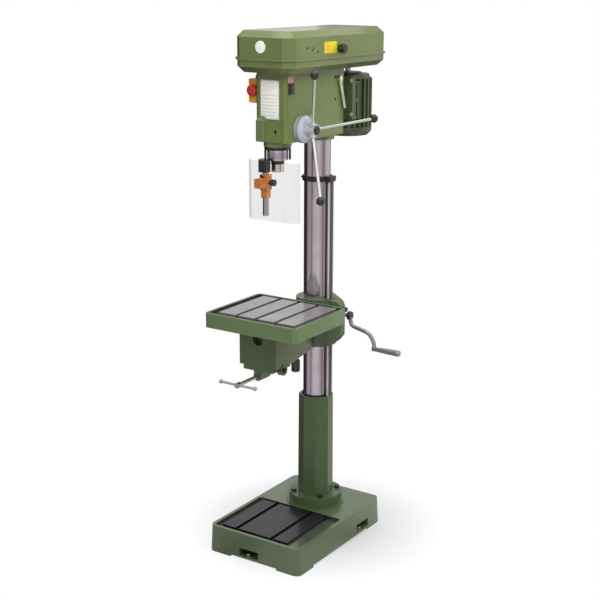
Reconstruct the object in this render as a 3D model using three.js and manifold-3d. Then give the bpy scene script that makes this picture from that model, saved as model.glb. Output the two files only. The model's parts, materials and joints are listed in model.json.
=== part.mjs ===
// Floor-standing pillar drill.
// Millimetres, +Z up. The origin is on the floor, on the axis of the column.
// -Y is the operator's side and +X is the operator's right.
import * as THREE from 'three';
import { mergeVertices } from 'three/addons/utils/BufferGeometryUtils.js';
import Module from 'manifold-3d';

const wasm = await Module();
wasm.setup();

// Running clearance between touching pieces, and how far a cut runs past a face
const gap = 0.3;
const overrun = 2;

// Sides of round work: large, middle and small
const manySides = 32;
const midSides = 24;
const pulleySides = 16;
const fewSides = 12;
const armSides = 10;
const hexSides = 6;
const cornerSteps = 3;
const curlSteps = 3;

// Column and the casting that holds it
const columnRadius = 45;
const columnWall = 8;
const columnGrip = 164;
const socketHeight = 500;
const socketFootRadius = 62.5;
const socketTopRadius = 60.5;
const socketSides = 8;
const socketTurn = THREE.MathUtils.degToRad(33);
const socketMouthRadius = 51;
const socketMouthDepth = 12;
const flangeRadius = 95;
const flangeThickness = 32;
const flangeBoltCircle = 79;
const flangeBolts = 4;
const boltHeadRadius = 10;
const boltHeadHeight = 8;
const boltRadius = 5.5;
const boltGrip = 24;

// Base casting
const baseWidth = 368;
const baseFront = 385;
const baseBack = 146;
const baseHeight = 95;
const baseCorner = 22;
const baseDraft = 3.5;
const baseWall = 14;
const baseDeck = 34;
const baseRib = 12;
const padRadius = 103;
const padHeight = 5;
const rimWidth = 12;
const panelStep = 100;
const panelLeft = 155;
const panelRight = 115;
const panelDrop = 4;
const troughDrop = 12;
const frontTrough = 22;
const slotPitch = 145;
const slotCentre = -20;
const slotWidth = 14;
const slotNeck = 10;
const slotFoot = 24;
const slotFootHeight = 9;
const pocketWidth = 78;
const pocketDepth = 52;
const pocketTop = 42;
const lugThickness = 14;
const footCentre = -18;
const footBoltInset = 15;
const footBoltShift = 12;
const sideFootCentre = 22;
const reliefHeight = 7;
const footPadLength = 88;
const columnPadRadius = 40;

// Rack and its ring
const rackThickness = 15;
const rackWidth = 24;
const rackToothSize = 4;
const ringCentre = 1270;
const ringHeight = 18;
const ringRadius = 51;
const ringLugReach = 3;
const ringLugWidth = 38;

// Head casting
const headBottom = 1402;
const headHeight = 234;
const headWidth = 120;
const headFront = 274;
const headBack = 77;
const headCorner = 13;
const headWall = 10;
const headFoot = 14;
const headFloor = 14;
const columnBossRadius = 57;
const headBridge = 24;
const bossLow = 17;
const bossHigh = 84;
const bossReach = 10;
const bossStep = 6;
const bossHalf = 43;
const bossSplit = 16;
const bossCorner = 14;
const clampHoleX = 24;
const clampHoleRadius = 6;

// Spindle and quill
const throat = 235;
const quillRadius = 30;
const quillLength = 183;
const quillDrop = 11;
const quillWall = 8;
const quillGuide = 140;
const quillBossRadius = 40;
const quillFootRadius = 45;
const collarRadius = 33.5;
const collarHeight = 33;
const noseRadius = 20;
const noseHeight = 38;
const spindleRadius = 14;
const taperMouth = 11.5;
const taperEnd = 9;
const taperDepth = 70;
const bearingHeight = 16;
const bearingRadius = 26;
const bearingGroove = 1.5;
const spindleTopClear = 26;

// Feed shaft, drum and levers
const pinionTeeth = 16;
const pinionToothSize = 2;
const pinionHalf = 12;
const feedHeight = 54;
const feedRadius = 11;
const drumRadius = 44;
const drumFaceRadius = 34;
const drumWidth = 18;
const drumTaper = 9;
const hubRadius = 20;
const hubWidth = 30;
const hubCapWidth = 10;
const leverBossRadius = 9;
const leverBossReach = 30;
const leverRadius = 5;
const leverReach = 226;
const leverLean = 94;
const leverCount = 3;
const leverStart = THREE.MathUtils.degToRad(84.5);
const knobRadius = 14;
const springCupRadius = 34;
const springCupWidth = 26;
const springCupWall = 4;

// Belt cover: tray below, lid above
const coverHalf = 112;
const coverFront = 327;
const coverBack = 252;
const frontCut = 31;
const backCut = 14;
const trayHeight = 38;
const trayBevel = 18;
const trayWall = 4;
const lidHeight = 91;
const lidBevel = 20;
const lipHeight = 8;
const lipReach = 5;
const lidWall = 3;
const hingePinRadius = 2.5;
const hingeBossRadius = 6;
const hingeHalf = 60;
const hingeLugWidth = 20;
const lidKnobRadius = 15;
const lidKnobReach = 24;
const lidKnobY = -44;
const lidKnobHeight = 30;
const lidKnobNeck = 6;

// Pulleys and belt
const pulleySteps = 4;
const stepHeight = 20;
const spindleStepRadius = 82;
const motorStepRadius = 26;
const stepChange = 6;
const grooveDepth = 9;
const grooveWidth = 11;
const beltWidth = 10;
const beltThickness = 8;
const beltStep = 2;
const sleeveRadius = 22;
const pulleyLift = 19;

// Motor, its plate and its tension lever
const motorDistance = 190;
const motorRadius = 84;
const finDepth = 12;
const finCount = 26;
const finShare = 0.45;
const motorDrop = 30;
const motorLength = 178;
const shieldHeight = 14;
const noseFlangeRadius = 46;
const noseFlangeHeight = 6;
const cowlHeight = 30;
const cowlWall = 3;
const cowlRound = 14;
const motorShaftRadius = 9.5;
const motorSlotRoom = 6;
const footHalf = 72;
const footDepth = 46;
const footHeight = 126;
const footDrop = 20;
const plateHalf = 80;
const plateThickness = 12;
const plateStand = 2;
const plateHeight = 142;
const plateDrop = 4;
const footSlotWidth = 9;
const footSlotShare = 0.4;
const footSlotEdgeShare = 0.05;
const slideRadius = 8;
const slideSpread = 32;
const slideReach = 96;
const slideHeight = 196;
const tensionTravel = 14;
const boxReach = 26;
const boxLength = 78;
const boxHeight = 62;
const tensionY = 31;
const tensionHeight = 200;
const tensionLength = 104;
const tensionRadius = 5.5;
const tensionBoss = 10;
const tensionPin = 6;
const tensionLean = THREE.MathUtils.degToRad(18);

// Switches on the head
const stopBoxWidth = 38;
const stopBoxDepth = 40;
const stopBoxHeight = 76;
const stopBoxFront = 255;
const stopBoxLow = 134;
const stopRadius = 19;
const stopHeight = 13;
const stopStem = 9;
const stopTravel = 4;
const stopDrop = 36;
const switchWidth = 26;
const switchHeight = 34;
const switchDepth = 7;
const switchWall = 4;
const switchY = 250;
const switchLow = 168;
const rockerLift = 3;
const rockerPlay = 1.2;

// Chuck guard
const yokeRadius = 43;
const yokeWall = 6;
const yokeBand = 10;
const yokeLegHeight = 42;
const yokeLegHalf = 8;
const yokeLegTurn = THREE.MathUtils.degToRad(31);
const guardX = -12;
const guardY = 49.5;
const pivotBlockWidth = 34;
const pivotBlockHeight = 40;
const pivotBlockTop = 39;
const hexRadius = 10;
const hexLength = 141;
const sliderLow = 136;
const sliderHeight = 50;
const sliderTail = 26;
const sliderWidth = 28;
const sliderTailWidth = 22;
const shieldGap = 50;
const shieldTop = 36;
const shieldDrop = 188;
const shieldWall = 3;
const shieldLeft = 30;
const shieldRight = 148;
const shieldCurl = 28;
const armWidth = 26;
const armHeight = 30;
const knurlRadius = 11;
const knurlWidth = 14;
const knurlStem = 4;
const knurlStand = 8;

// Table and its bracket
const tableWidth = 360;
const tableFront = 402;
const tableBack = 92;
const tableTop = 858;
const tableEdge = 49;
const tableCorner = 15;
const tablePlate = 24;
const tableWall = 12;
const tableRim = 11;
const tableTroughDrop = 10;
const tablePanelDrop = 2;
const tablePanelHalf = 150;
const tablePanelFront = 362;
const tablePanelBack = 106;
const tableSlotPitch = 77;
const tableSlots = 3;
const tableRib = 14;
const pivotDrop = 76;
const bracketHalf = 73;
const bracketNeckHalf = 42;
const bracketFront = 352;
const bracketShoulder = 268;
const bracketLow = 110;
const bracketNeckLow = 88;
const forkHalf = 58;
const forkBack = 246;
const archDrop = 65;
const archRadius = 150;
const legDrop = 92;
const lugBack = 308;
const lugDrop = 102;
const lugRadius = 18;
const lugRaise = 3;
const shoeDrop = 107;
const trunnionRadius = 18.7;
const trunnionEnd = 330;
const clampDrop = 124;
const clampBossRadius = 16;
const clampBossBack = 300;
const screwRadius = 6;
const screwHeadRadius = 9;
const screwHeadLength = 18;
const screwEnd = 470;
const tommyRadius = 4;
const tommyHalf = 72;
const tommyKnob = 6.5;
const tommyKnobWidth = 8;
const plungerX = 33;
const plungerY = 178;
const plungerStem = 5;
const plungerKnob = 15;
const plungerKnobHeight = 40;
const plungerLow = 147;
const plungerSeat = 60;

// Carrier that climbs the column, its gears and its crank
const carrierBottom = 690;
const carrierHeight = 166;
const carrierRadius = 71;
const housingReach = 108;
const housingFront = 34;
const housingBack = 40;
const housingNose = 14;
const housingLow = 8;
const housingSlope = 40;
const housingHigh = 160;
const housingBevel = 14;
const trunnionFlange = 42;
const gearTeeth = 10;
const gearHalf = 8;
const gearPin = 7;
const gearPinHalf = 20;
const crankHeight = 115;
const wormRadius = 8;
const wormThread = 1.6;
const wormPitch = 12;
const wormLength = 36;
const wormRings = 14;
const crankShaftRadius = 9;
const crankShaftReach = 137;
const crankHubRadius = 15;
const crankHubWidth = 12;
const crankArmRadius = 6.5;
const crankThrow = 103;
const crankOffset = 98;
const crankHubStand = 22;
const crankPin = 4;
const gripLength = 92;
const gripRadius = 8;
const gripEndRadius = 10.5;
const armSteps = 10;
// Points along the arm, as shares of its offset and of its throw
const armShares = [[0.1, 0.32], [0.42, 0.41], [0.78, 0.52], [0.97, 0.78], [1, 1]];

// Teeth: shares of the tooth size for height and play, and the slope of a flank
const toothTipShare = 0.75;
const toothRootShare = 1.1;
const rackSlackShare = 0.14;
const gearSlackShare = 0.14;
const toothSlope = Math.tan(THREE.MathUtils.degToRad(20));

// Places worked out from the sizes above.
// Each foot pocket is [x0, x1, y0, y1] of its box, and the place of its bolt.
const halfBase = baseWidth / 2;
const sideFoot = [sideFootCentre - pocketWidth / 2, sideFootCentre + pocketWidth / 2];
const footPlaces = [
  {
    name: 'floor_bolt_front',
    box: [footCentre - pocketWidth / 2, footCentre + pocketWidth / 2, -baseFront, pocketDepth - baseFront],
    bolt: [footCentre - footBoltShift, footBoltInset - baseFront],
  },
  {
    name: 'floor_bolt_right',
    box: [halfBase - pocketDepth, halfBase, ...sideFoot],
    bolt: [halfBase - footBoltInset, sideFootCentre],
  },
  {
    name: 'floor_bolt_left',
    box: [-halfBase, pocketDepth - halfBase, ...sideFoot],
    bolt: [footBoltInset - halfBase, sideFootCentre],
  },
];
const columnTop = headBottom + columnGrip;
const motorTop = headBottom + headHeight - motorDrop;
const flangeBottom = baseHeight + padHeight + gap;
const flangeBoltPlaces = Array.from({ length: flangeBolts }, (_, i) => {
  const turn = ((2 * i + 1) * Math.PI) / flangeBolts;
  return [flangeBoltCircle * Math.cos(turn), flangeBoltCircle * Math.sin(turn)];
});

// Rack, lift gear and worm
const rackInner = columnRadius + gap;
const rackFace = rackInner + rackThickness;
const rackTop = ringCentre;
const gearPitch = (gearTeeth * rackToothSize) / 2;
const gearTip = gearPitch + toothTipShare * rackToothSize;
const gearX = rackFace - toothTipShare * rackToothSize + gearPitch;
const wormTip = wormRadius + wormThread;
const gearZ = carrierBottom + crankHeight - wormTip - gap - gearTip;

// Feed shaft and its levers, which lean away from the head
const pinionPitch = (pinionTeeth * pinionToothSize) / 2;
const feedY = -throat + quillRadius - toothTipShare * pinionToothSize + pinionPitch;
const leverTilt = Math.atan2(leverLean, leverReach);
const leverTurns = Array.from({ length: leverCount }, (_, i) => leverStart + (2 * Math.PI * i) / leverCount);

// Belt drive and cover
const stepRadii = (first, change) => Array.from({ length: pulleySteps }, (_, i) => first + i * change);
const spindleSteps = stepRadii(spindleStepRadius, -stepChange);
const motorSteps = stepRadii(motorStepRadius, stepChange);
const plateBack = motorDistance - motorRadius - plateStand;
const hingeX = -coverHalf - lipReach - hingeBossRadius;
const hingeZ = trayHeight + gap + lipHeight / 2;

// Finishes, read from the photograph
const finishes = {
  hammered: [0x71875a, 0.45, 0.1],
  casting: [0x55714f, 0.5, 0.1],
  machined: [0x8f8b90, 0.35, 0.85],
  steel: [0xb4b2b2, 0.28, 0.95],
  dark: [0x1d1d1e, 0.45, 0.2],
  drum: [0x9a9fab, 0.35, 0.8],
  red: [0xb0301a, 0.4, 0],
  yellow: [0xe2a13c, 0.5, 0],
  orange: [0xc8823f, 0.5, 0],
  clear: [0xe9e9ea, 0.1, 0],
  motor: [0x3d5240, 0.5, 0.1],
};

// Turns a closed geometry into a solid that can be joined and cut.
function solid(geometry) {
  const bare = geometry.clone();
  bare.deleteAttribute('normal');
  bare.deleteAttribute('uv');
  const merged = mergeVertices(bare);
  const places = merged.attributes.position.array;
  const corners = merged.index.array;
  const faces = [];
  let volume = 0;
  const [a, b, c] = [new THREE.Vector3(), new THREE.Vector3(), new THREE.Vector3()];
  for (let i = 0; i < corners.length; i += 3) {
    const [p, q, r] = [corners[i], corners[i + 1], corners[i + 2]];
    if (p === q || q === r || p === r) continue;
    faces.push([p, q, r]);
    a.fromArray(places, 3 * p);
    b.fromArray(places, 3 * q);
    c.fromArray(places, 3 * r);
    volume += a.dot(b.cross(c));
  }
  const turned = volume < 0 ? faces.map(([p, q, r]) => [p, r, q]) : faces;
  return new wasm.Manifold(new wasm.Mesh({
    numProp: 3,
    vertProperties: new Float32Array(places),
    triVerts: new Uint32Array(turned.flat()),
  }));
}

// Rotations that lay local Z along a world axis.
const along = {
  x: new THREE.Matrix4().makeBasis(
    new THREE.Vector3(0, 1, 0), new THREE.Vector3(0, 0, 1), new THREE.Vector3(1, 0, 0)),
  y: new THREE.Matrix4().makeBasis(
    new THREE.Vector3(0, 0, 1), new THREE.Vector3(1, 0, 0), new THREE.Vector3(0, 1, 0)),
  z: new THREE.Matrix4(),
};

// A box between two corners.
function block(x0, x1, y0, y1, z0, z1) {
  const box = new THREE.BoxGeometry(x1 - x0, y1 - y0, z1 - z0);
  return solid(box.translate((x0 + x1) / 2, (y0 + y1) / 2, (z0 + z1) / 2));
}

// A round bar or cone along an axis, from one place to another.
function rod(axis, radius, from, to, centre = [0, 0, 0], sides = midSides, endRadius = radius) {
  const bar = new THREE.CylinderGeometry(endRadius, radius, to - from, sides);
  bar.rotateX(Math.PI / 2).translate(0, 0, (from + to) / 2).applyMatrix4(along[axis]);
  return solid(bar.translate(...centre));
}

// A turned shape: profile points are radius and place along the axis.
function turned(profile, axis = 'z', centre = [0, 0, 0], sides = midSides) {
  const points = profile.map(([r, h]) => new THREE.Vector2(r, h));
  const first = points[0];
  const last = points[points.length - 1];
  if (first.x > 0 || last.x > 0) points.push(first.clone());
  const lathe = new THREE.LatheGeometry(points, sides);
  lathe.rotateX(Math.PI / 2).applyMatrix4(along[axis]);
  return solid(lathe.translate(...centre));
}

// A flat outline given thickness along an axis. Along x the points are (y, z), along y (x, z).
function slab(points, axis, from, to) {
  const flat = points.map(([u, v]) => (axis === 'y' ? new THREE.Vector2(v, u) : new THREE.Vector2(u, v)));
  const body = new THREE.ExtrudeGeometry(new THREE.Shape(flat), { depth: to - from, bevelEnabled: false });
  return solid(body.translate(0, 0, from).applyMatrix4(along[axis]));
}

// A skin through outlines at several heights, each with the same number of points.
function loft(levels) {
  const count = levels[0].ring.length;
  const places = levels.flatMap(({ ring, height }) => ring.flatMap(([x, y]) => [x, y, height]));
  const faces = [];
  for (let level = 0; level + 1 < levels.length; level += 1) {
    for (let i = 0; i < count; i += 1) {
      const [a, b] = [level * count + i, level * count + ((i + 1) % count)];
      faces.push(a, b, b + count, a, b + count, a + count);
    }
  }
  const last = (levels.length - 1) * count;
  const cap = (ring) => THREE.ShapeUtils.triangulateShape(ring.map(([x, y]) => new THREE.Vector2(x, y)), []);
  cap(levels[0].ring).forEach(([a, b, c]) => faces.push(a, c, b));
  cap(levels[levels.length - 1].ring).forEach(([a, b, c]) => faces.push(last + a, last + b, last + c));
  const skin = new THREE.BufferGeometry();
  skin.setAttribute('position', new THREE.Float32BufferAttribute(places, 3));
  skin.setIndex(faces);
  return solid(skin);
}

// A rectangle with round corners, counter-clockwise from the lower right.
function roundedPlan(x0, x1, y0, y1, radius) {
  const centres = [[x1, y0, 1, -1], [x1, y1, 1, 1], [x0, y1, -1, 1], [x0, y0, -1, -1]];
  return centres.flatMap(([x, y, sx, sy], corner) => {
    const points = [];
    for (let step = 0; step <= cornerSteps; step += 1) {
      const turn = (corner - 1 + step / cornerSteps) * (Math.PI / 2);
      points.push([x + radius * (Math.cos(turn) - sx), y + radius * (Math.sin(turn) - sy)]);
    }
    return points;
  });
}

// The belt cover's outline, drawn in by an inset, with its corners cut at 45 degrees.
function coverPlan(inset) {
  const half = coverHalf - inset;
  const front = coverFront - inset;
  const back = coverBack - inset;
  const shrink = inset * (2 - Math.SQRT2);
  const near = frontCut - shrink;
  const far = Math.max(backCut - shrink, backCut / 2);
  return [
    [half - near, -front], [half, near - front], [half, back - far], [half - far, back],
    [far - half, back], [-half, back - far], [-half, near - front], [near - half, -front],
  ];
}

// A gear's outline round its centre, with the first tooth on the positive first axis.
function gearOutline(teeth, toothSize, backlash) {
  const pitch = (teeth * toothSize) / 2;
  const half = (Math.PI * toothSize) / 4 - backlash;
  const tip = pitch + toothTipShare * toothSize;
  const root = pitch - toothRootShare * toothSize;
  const points = [];
  const put = (radius, half, turn) => points.push([
    radius * Math.cos(turn + half / radius), radius * Math.sin(turn + half / radius)]);
  for (let tooth = 0; tooth < teeth; tooth += 1) {
    const turn = (2 * Math.PI * tooth) / teeth;
    const rootHalf = half + toothRootShare * toothSize * toothSlope;
    const tipHalf = half - toothTipShare * toothSize * toothSlope;
    put(root, -rootHalf, turn);
    put(tip, -tipHalf, turn);
    put(tip, tipHalf, turn);
    put(root, rootHalf, turn);
  }
  return points;
}

// Points of a rack's toothed edge, as places in depth and along its length.
// A gap between teeth is centred on the middle.
function rackEdge(face, toothSize, from, to, middle) {
  const pitch = Math.PI * toothSize;
  const half = pitch / 4 + rackSlackShare * toothSize;
  const mouth = half + toothTipShare * toothSize * toothSlope;
  const floor = half - toothRootShare * toothSize * toothSlope;
  const depth = (toothTipShare + toothRootShare) * toothSize;
  const points = [];
  const first = Math.ceil((from + mouth - middle) / pitch);
  const last = Math.floor((to - mouth - middle) / pitch);
  for (let i = first; i <= last; i += 1) {
    const v = middle + i * pitch;
    points.push([face, v - mouth], [face - depth, v - floor], [face - depth, v + floor], [face, v + mouth]);
  }
  return points;
}

// Makes a named mesh from a solid and puts it in a group.
function put(group, name, body, finish) {
  const mesh = body.getMesh();
  const shape = new THREE.BufferGeometry();
  shape.setAttribute('position', new THREE.Float32BufferAttribute(mesh.vertProperties, 3));
  shape.setIndex(Array.from(mesh.triVerts));
  const [color, roughness, metalness] = finishes[finish];
  const material = new THREE.MeshStandardMaterial({ color, roughness, metalness, flatShading: true });
  const part = new THREE.Mesh(shape, material);
  part.name = name;
  group.add(part);
  return part;
}

// A nested group at a place.
function nest(parent, x, y, z) {
  const group = new THREE.Group();
  group.position.set(x, y, z);
  parent.add(group);
  return group;
}

// A T-slot along Y, cut down from a panel's face.
function slot(x, front, back, face) {
  const deep = face - slotNeck;
  const neck = block(x - slotWidth / 2, x + slotWidth / 2, front, back, deep - gap, face + overrun);
  const foot = block(x - slotFoot / 2, x + slotFoot / 2, front, back, deep - slotFootHeight, deep);
  return neck.add(foot);
}

// The base: a shell with ribs below, a trough and slotted panel in front, and a pad for the column.
// A round pad under the column takes its weight to the floor.
function baseBody() {
  const top = roundedPlan(-halfBase, halfBase, -baseFront, baseBack, baseCorner);
  const wide = halfBase + baseDraft;
  const foot = roundedPlan(-wide, wide, -baseFront - baseDraft, baseBack + baseDraft, baseCorner);
  let body = loft([{ ring: foot, height: 0 }, { ring: top, height: baseHeight }]);
  const panelTop = baseHeight - panelDrop;
  const inner = halfBase - rimWidth;
  const front = -baseFront + rimWidth;
  const trough = roundedPlan(-inner, inner, front, -panelStep, baseCorner - rimWidth);
  const floor = baseHeight - troughDrop;
  const panelFront = front + frontTrough;
  body = body.subtract(loft([{ ring: trough, height: floor }, { ring: trough, height: baseHeight + overrun }]));
  body = body.add(block(-panelLeft, panelRight, panelFront, -panelStep, floor - gap, panelTop));
  body = body.add(rod('z', padRadius, floor - gap, baseHeight + padHeight, [0, 0, 0], manySides));
  for (const side of [-1, 1]) {
    const x = slotCentre + (side * slotPitch) / 2;
    body = body.subtract(slot(x, panelFront - gap, -panelStep - gap, panelTop));
  }
  const columnPad = rod('z', columnPadRadius, 0, baseHeight - baseDeck + gap, [0, 0, 0], manySides);
  return body.subtract(baseCells()).add(baseLugs()).subtract(baseOpenings()).add(columnPad);
}

// Nine cells under the base, parted by ribs.
function baseCells() {
  const [x0, y0, y1] = [baseWall - halfBase, baseWall - baseFront, baseBack - baseWall];
  const width = (-2 * x0 - 2 * baseRib) / 3;
  const depth = (y1 - y0 - 2 * baseRib) / 3;
  let cells = null;
  for (let i = 0; i < 3; i += 1) {
    for (let j = 0; j < 3; j += 1) {
      const [x, y] = [x0 + i * (width + baseRib), y0 + j * (depth + baseRib)];
      const cell = block(x, x + width, y, y + depth, -overrun, baseHeight - baseDeck);
      cells = cells ? cells.add(cell) : cell;
    }
  }
  return cells;
}

// Solid lugs round the three foot pockets, which the floor bolts hold down.
function baseLugs() {
  return footPlaces
    .map(({ box: [x0, x1, y0, y1] }) => block(
      x0 - baseRib, x1 + baseRib, y0 - baseRib, y1 + baseRib, 0, pocketTop + baseRib))
    .map((lug) => lug.intersect(baseEnvelope()))
    .reduce((all, lug) => all.add(lug));
}

// The base's outer form without any cut.
function baseEnvelope() {
  const top = roundedPlan(-halfBase, halfBase, -baseFront, baseBack, baseCorner);
  return loft([{ ring: top, height: 0 }, { ring: top, height: baseHeight }]);
}

// Everything that opens the base from outside: pockets, bolt holes and the relief between the corner pads.
function baseOpenings() {
  let cuts = null;
  const join = (body) => { cuts = cuts ? cuts.add(body) : body; };
  for (const { box: [x0, x1, y0, y1], bolt: [x, y] } of footPlaces) {
    const [left, right] = [x0 === -halfBase ? x0 - baseWall : x0, x1 === halfBase ? x1 + baseWall : x1];
    const front = y0 === -baseFront ? y0 - baseWall : y0;
    join(block(left, right, front, y1, lugThickness, pocketTop));
    join(rod('z', boltRadius + gap, -overrun, lugThickness + overrun, [x, y, 0], fewSides));
  }
  for (const [x, y] of flangeBoltPlaces) {
    const padTop = baseHeight + padHeight;
    join(rod('z', boltRadius + gap, baseHeight - boltGrip, padTop + overrun, [x, y, 0], fewSides));
  }
  const [sideX, sideY] = [halfBase + baseWall, baseFront + baseWall];
  const inX = halfBase - footPadLength;
  join(block(-sideX, sideX, footPadLength - baseFront, baseBack - footPadLength, -overrun, reliefHeight));
  join(block(-inX, inX, -sideY, baseBack + baseWall, -overrun, reliefHeight));
  return cuts;
}

// The flange and the eight-sided sleeve that hold the column.
function socketBody() {
  const sleeveRing = (radius) => socketRing().map(([c, s]) => [radius * c, radius * s]);
  const sleeveFoot = flangeBottom + flangeThickness - gap;
  let body = rod('z', flangeRadius, flangeBottom, flangeBottom + flangeThickness, [0, 0, 0], manySides);
  body = body.add(loft([
    { ring: sleeveRing(socketFootRadius), height: sleeveFoot },
    { ring: sleeveRing(socketTopRadius), height: socketHeight },
  ]));
  body = body.subtract(rod('z', columnRadius + gap, 0, socketHeight + overrun, [0, 0, 0], manySides));
  body = body.subtract(rod(
    'z', socketMouthRadius, socketHeight - socketMouthDepth, socketHeight + overrun, [0, 0, 0], manySides));
  for (const [x, y] of flangeBoltPlaces) {
    body = body.subtract(rod('z', boltRadius + gap, 0, socketHeight / 2, [x, y, 0], fewSides));
  }
  return body;
}

// Directions of the sleeve's corners, one of them at the socket's turn from the front.
function socketRing() {
  return Array.from({ length: socketSides }, (_, i) => {
    const turn = socketTurn - Math.PI / 2 + (2 * Math.PI * i) / socketSides;
    return [Math.cos(turn), Math.sin(turn)];
  });
}

// A hexagon bolt: its head stands on a face at z = 0 and its shank goes down.
function boltBody(shank) {
  return rod('z', boltHeadRadius, 0, boltHeadHeight, [0, 0, 0], hexSides).add(
    rod('z', boltRadius, -shank, gap, [0, 0, 0], fewSides));
}

// Everything that stands still on the floor.
function buildStand(machine) {
  const stand = nest(machine, 0, 0, 0);
  put(stand, 'base', baseBody(), 'casting');
  put(stand, 'column_socket', socketBody(), 'casting');
  const inner = columnRadius - columnWall;
  put(stand, 'column', turned([
    [inner, flangeBottom], [columnRadius, flangeBottom], [columnRadius, columnTop], [inner, columnTop],
  ], 'z', [0, 0, 0], manySides), 'steel');
  flangeBoltPlaces.forEach(([x, y], i) => {
    const seat = nest(stand, x, y, flangeBottom + flangeThickness + gap);
    put(seat, `socket_bolt_${i + 1}`, boltBody(flangeThickness + boltGrip / 2), 'dark');
  });
  for (const { name, bolt: [x, y] } of footPlaces) {
    put(nest(stand, x, y, lugThickness + gap), name, boltBody(lugThickness), 'steel');
  }
}

// The rack and the ring that keeps it upright; both swing round the column with the table.
function buildRack(machine) {
  const swing = nest(machine, 0, 0, 0);
  const low = socketHeight + gap;
  const points = [[rackInner, rackTop], [rackInner, low], [rackFace, low]];
  points.push(...rackEdge(rackFace, rackToothSize, low, ringCentre - ringHeight, gearZ), [rackFace, rackTop]);
  put(swing, 'rack', slab(points, 'y', -rackWidth / 2, rackWidth / 2), 'steel');
  const [bottom, top] = [ringCentre - ringHeight / 2, ringCentre + ringHeight / 2];
  let ring = rod('z', ringRadius, bottom, top, [0, 0, 0], manySides);
  ring = ring.add(block(0, rackFace + ringLugReach, -ringLugWidth / 2, ringLugWidth / 2, bottom, top));
  ring = ring.subtract(rod('z', columnRadius + gap, bottom - overrun, top + overrun, [0, 0, 0], manySides));
  const way = rackWidth / 2 + gap;
  const inside = columnRadius - overrun;
  ring = ring.subtract(block(inside, rackFace + gap, -way, way, bottom - overrun, rackTop + gap));
  put(swing, 'rack_ring', ring, 'dark');
}

// The head casting: an open-topped box round the column boss and the quill's guide.
function headBody() {
  const half = headWidth / 2;
  const outer = roundedPlan(-half, half, -headFront, headBack, headCorner);
  const shell = loft([{ ring: outer, height: headFoot }, { ring: outer, height: headHeight }])
    .add(rod('z', columnBossRadius, 0, headFoot + headFloor, [0, 0, 0], manySides))
    .add(rod('z', quillFootRadius, 0, headFoot + headFloor, [0, -throat, 0], manySides));
  const in0 = half - headWall;
  const floor = headFoot + headFloor;
  const bridgeBack = quillBossRadius - throat;
  let hollow = block(-in0, in0, headWall - headFront, headBack - headWall, floor, headHeight - headBridge);
  hollow = hollow.add(block(
    -in0, in0, bridgeBack, headBack - headWall, headHeight - headBridge - gap, headHeight + overrun));
  const grip = columnTop - headBottom;
  hollow = hollow.subtract(rod('z', columnBossRadius, 0, grip, [0, 0, 0], manySides));
  hollow = hollow.subtract(rod('z', quillBossRadius, 0, quillGuide, [0, -throat, 0], manySides));
  let body = shell.subtract(hollow).add(frontBosses());
  body = body.subtract(rod('z', columnRadius + gap, -overrun, grip + gap, [0, 0, 0], manySides));
  const bridgeLow = headHeight - headBridge;
  body = body.subtract(rod('z', quillRadius + gap, -overrun, bridgeLow, [0, -throat, 0], manySides));
  body = body.subtract(rod(
    'z', sleeveRadius + gap, bridgeLow - overrun, headHeight + overrun, [0, -throat, 0], midSides));
  return body.subtract(headBores());
}

// The two thick bosses low on the head's front, one further out than the other.
function frontBosses() {
  const [left, right] = [-bossHalf - bossStep, bossHalf];
  const inside = headCorner - headFront;
  const wide = block(-bossSplit, right, -headFront - bossReach, inside, bossLow, bossHigh);
  const plan = roundedPlan(left, -bossSplit, -headFront - bossReach - bossStep, inside, bossStep);
  const crown = roundedPlan(left + bossStep, -bossSplit - bossStep, -headFront, inside, bossStep);
  const deep = loft([
    { ring: plan, height: bossLow }, { ring: plan, height: bossHigh },
    { ring: crown, height: bossHigh + bossCorner },
  ]);
  return wide.add(deep);
}

// Bores through the head: feed shaft, pinion, tension lever, motor slides and clamp screw.
function headBores() {
  const half = headWidth / 2 + overrun;
  const feed = [0, feedY, feedHeight];
  const tip = pinionPitch + toothTipShare * pinionToothSize + gap + gap;
  let bores = rod('x', feedRadius + gap, -half, half, feed, midSides);
  bores = bores.add(rod('x', tip, -pinionHalf - overrun, pinionHalf + overrun, feed, midSides));
  bores = bores.add(rod('x', tensionPin + gap, 0, half, [0, tensionY, tensionHeight], fewSides));
  for (const side of [-1, 1]) {
    const slide = [side * slideSpread, 0, slideHeight];
    bores = bores.add(rod('y', slideRadius + gap, 0, headBack + overrun, slide, fewSides));
  }
  const hole = -headFront - bossReach - overrun;
  const clamp = [clampHoleX, 0, (bossLow + bossHigh) / 2];
  return bores.add(rod('y', clampHoleRadius, hole, hole + bossReach + bossStep, clamp, fewSides));
}

// The quill: a tube with a collar, and rack teeth cut in its back.
function quillBody() {
  const seat = bearingRadius + gap;
  const bore = quillRadius - quillWall;
  const low = -quillDrop - collarHeight;
  const top = quillLength - quillDrop;
  const body = turned([
    [seat, low], [collarRadius, low], [collarRadius, -quillDrop], [quillRadius, -quillDrop],
    [quillRadius, top], [seat, top], [seat, top - bearingHeight - gap], [bore, top - bearingHeight - gap],
    [bore, low + bearingHeight + gap], [seat, low + bearingHeight + gap],
  ]);
  const edge = rackEdge(quillRadius, pinionToothSize, feedHeight - 2 * Math.PI * pinionToothSize, top, feedHeight);
  const first = edge[0][1];
  const last = edge[edge.length - 1][1];
  const back = quillRadius + overrun;
  const teeth = slab([[back, first], ...edge, [back, last]], 'x', -pinionHalf - overrun, pinionHalf + overrun);
  return body.subtract(teeth);
}

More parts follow.
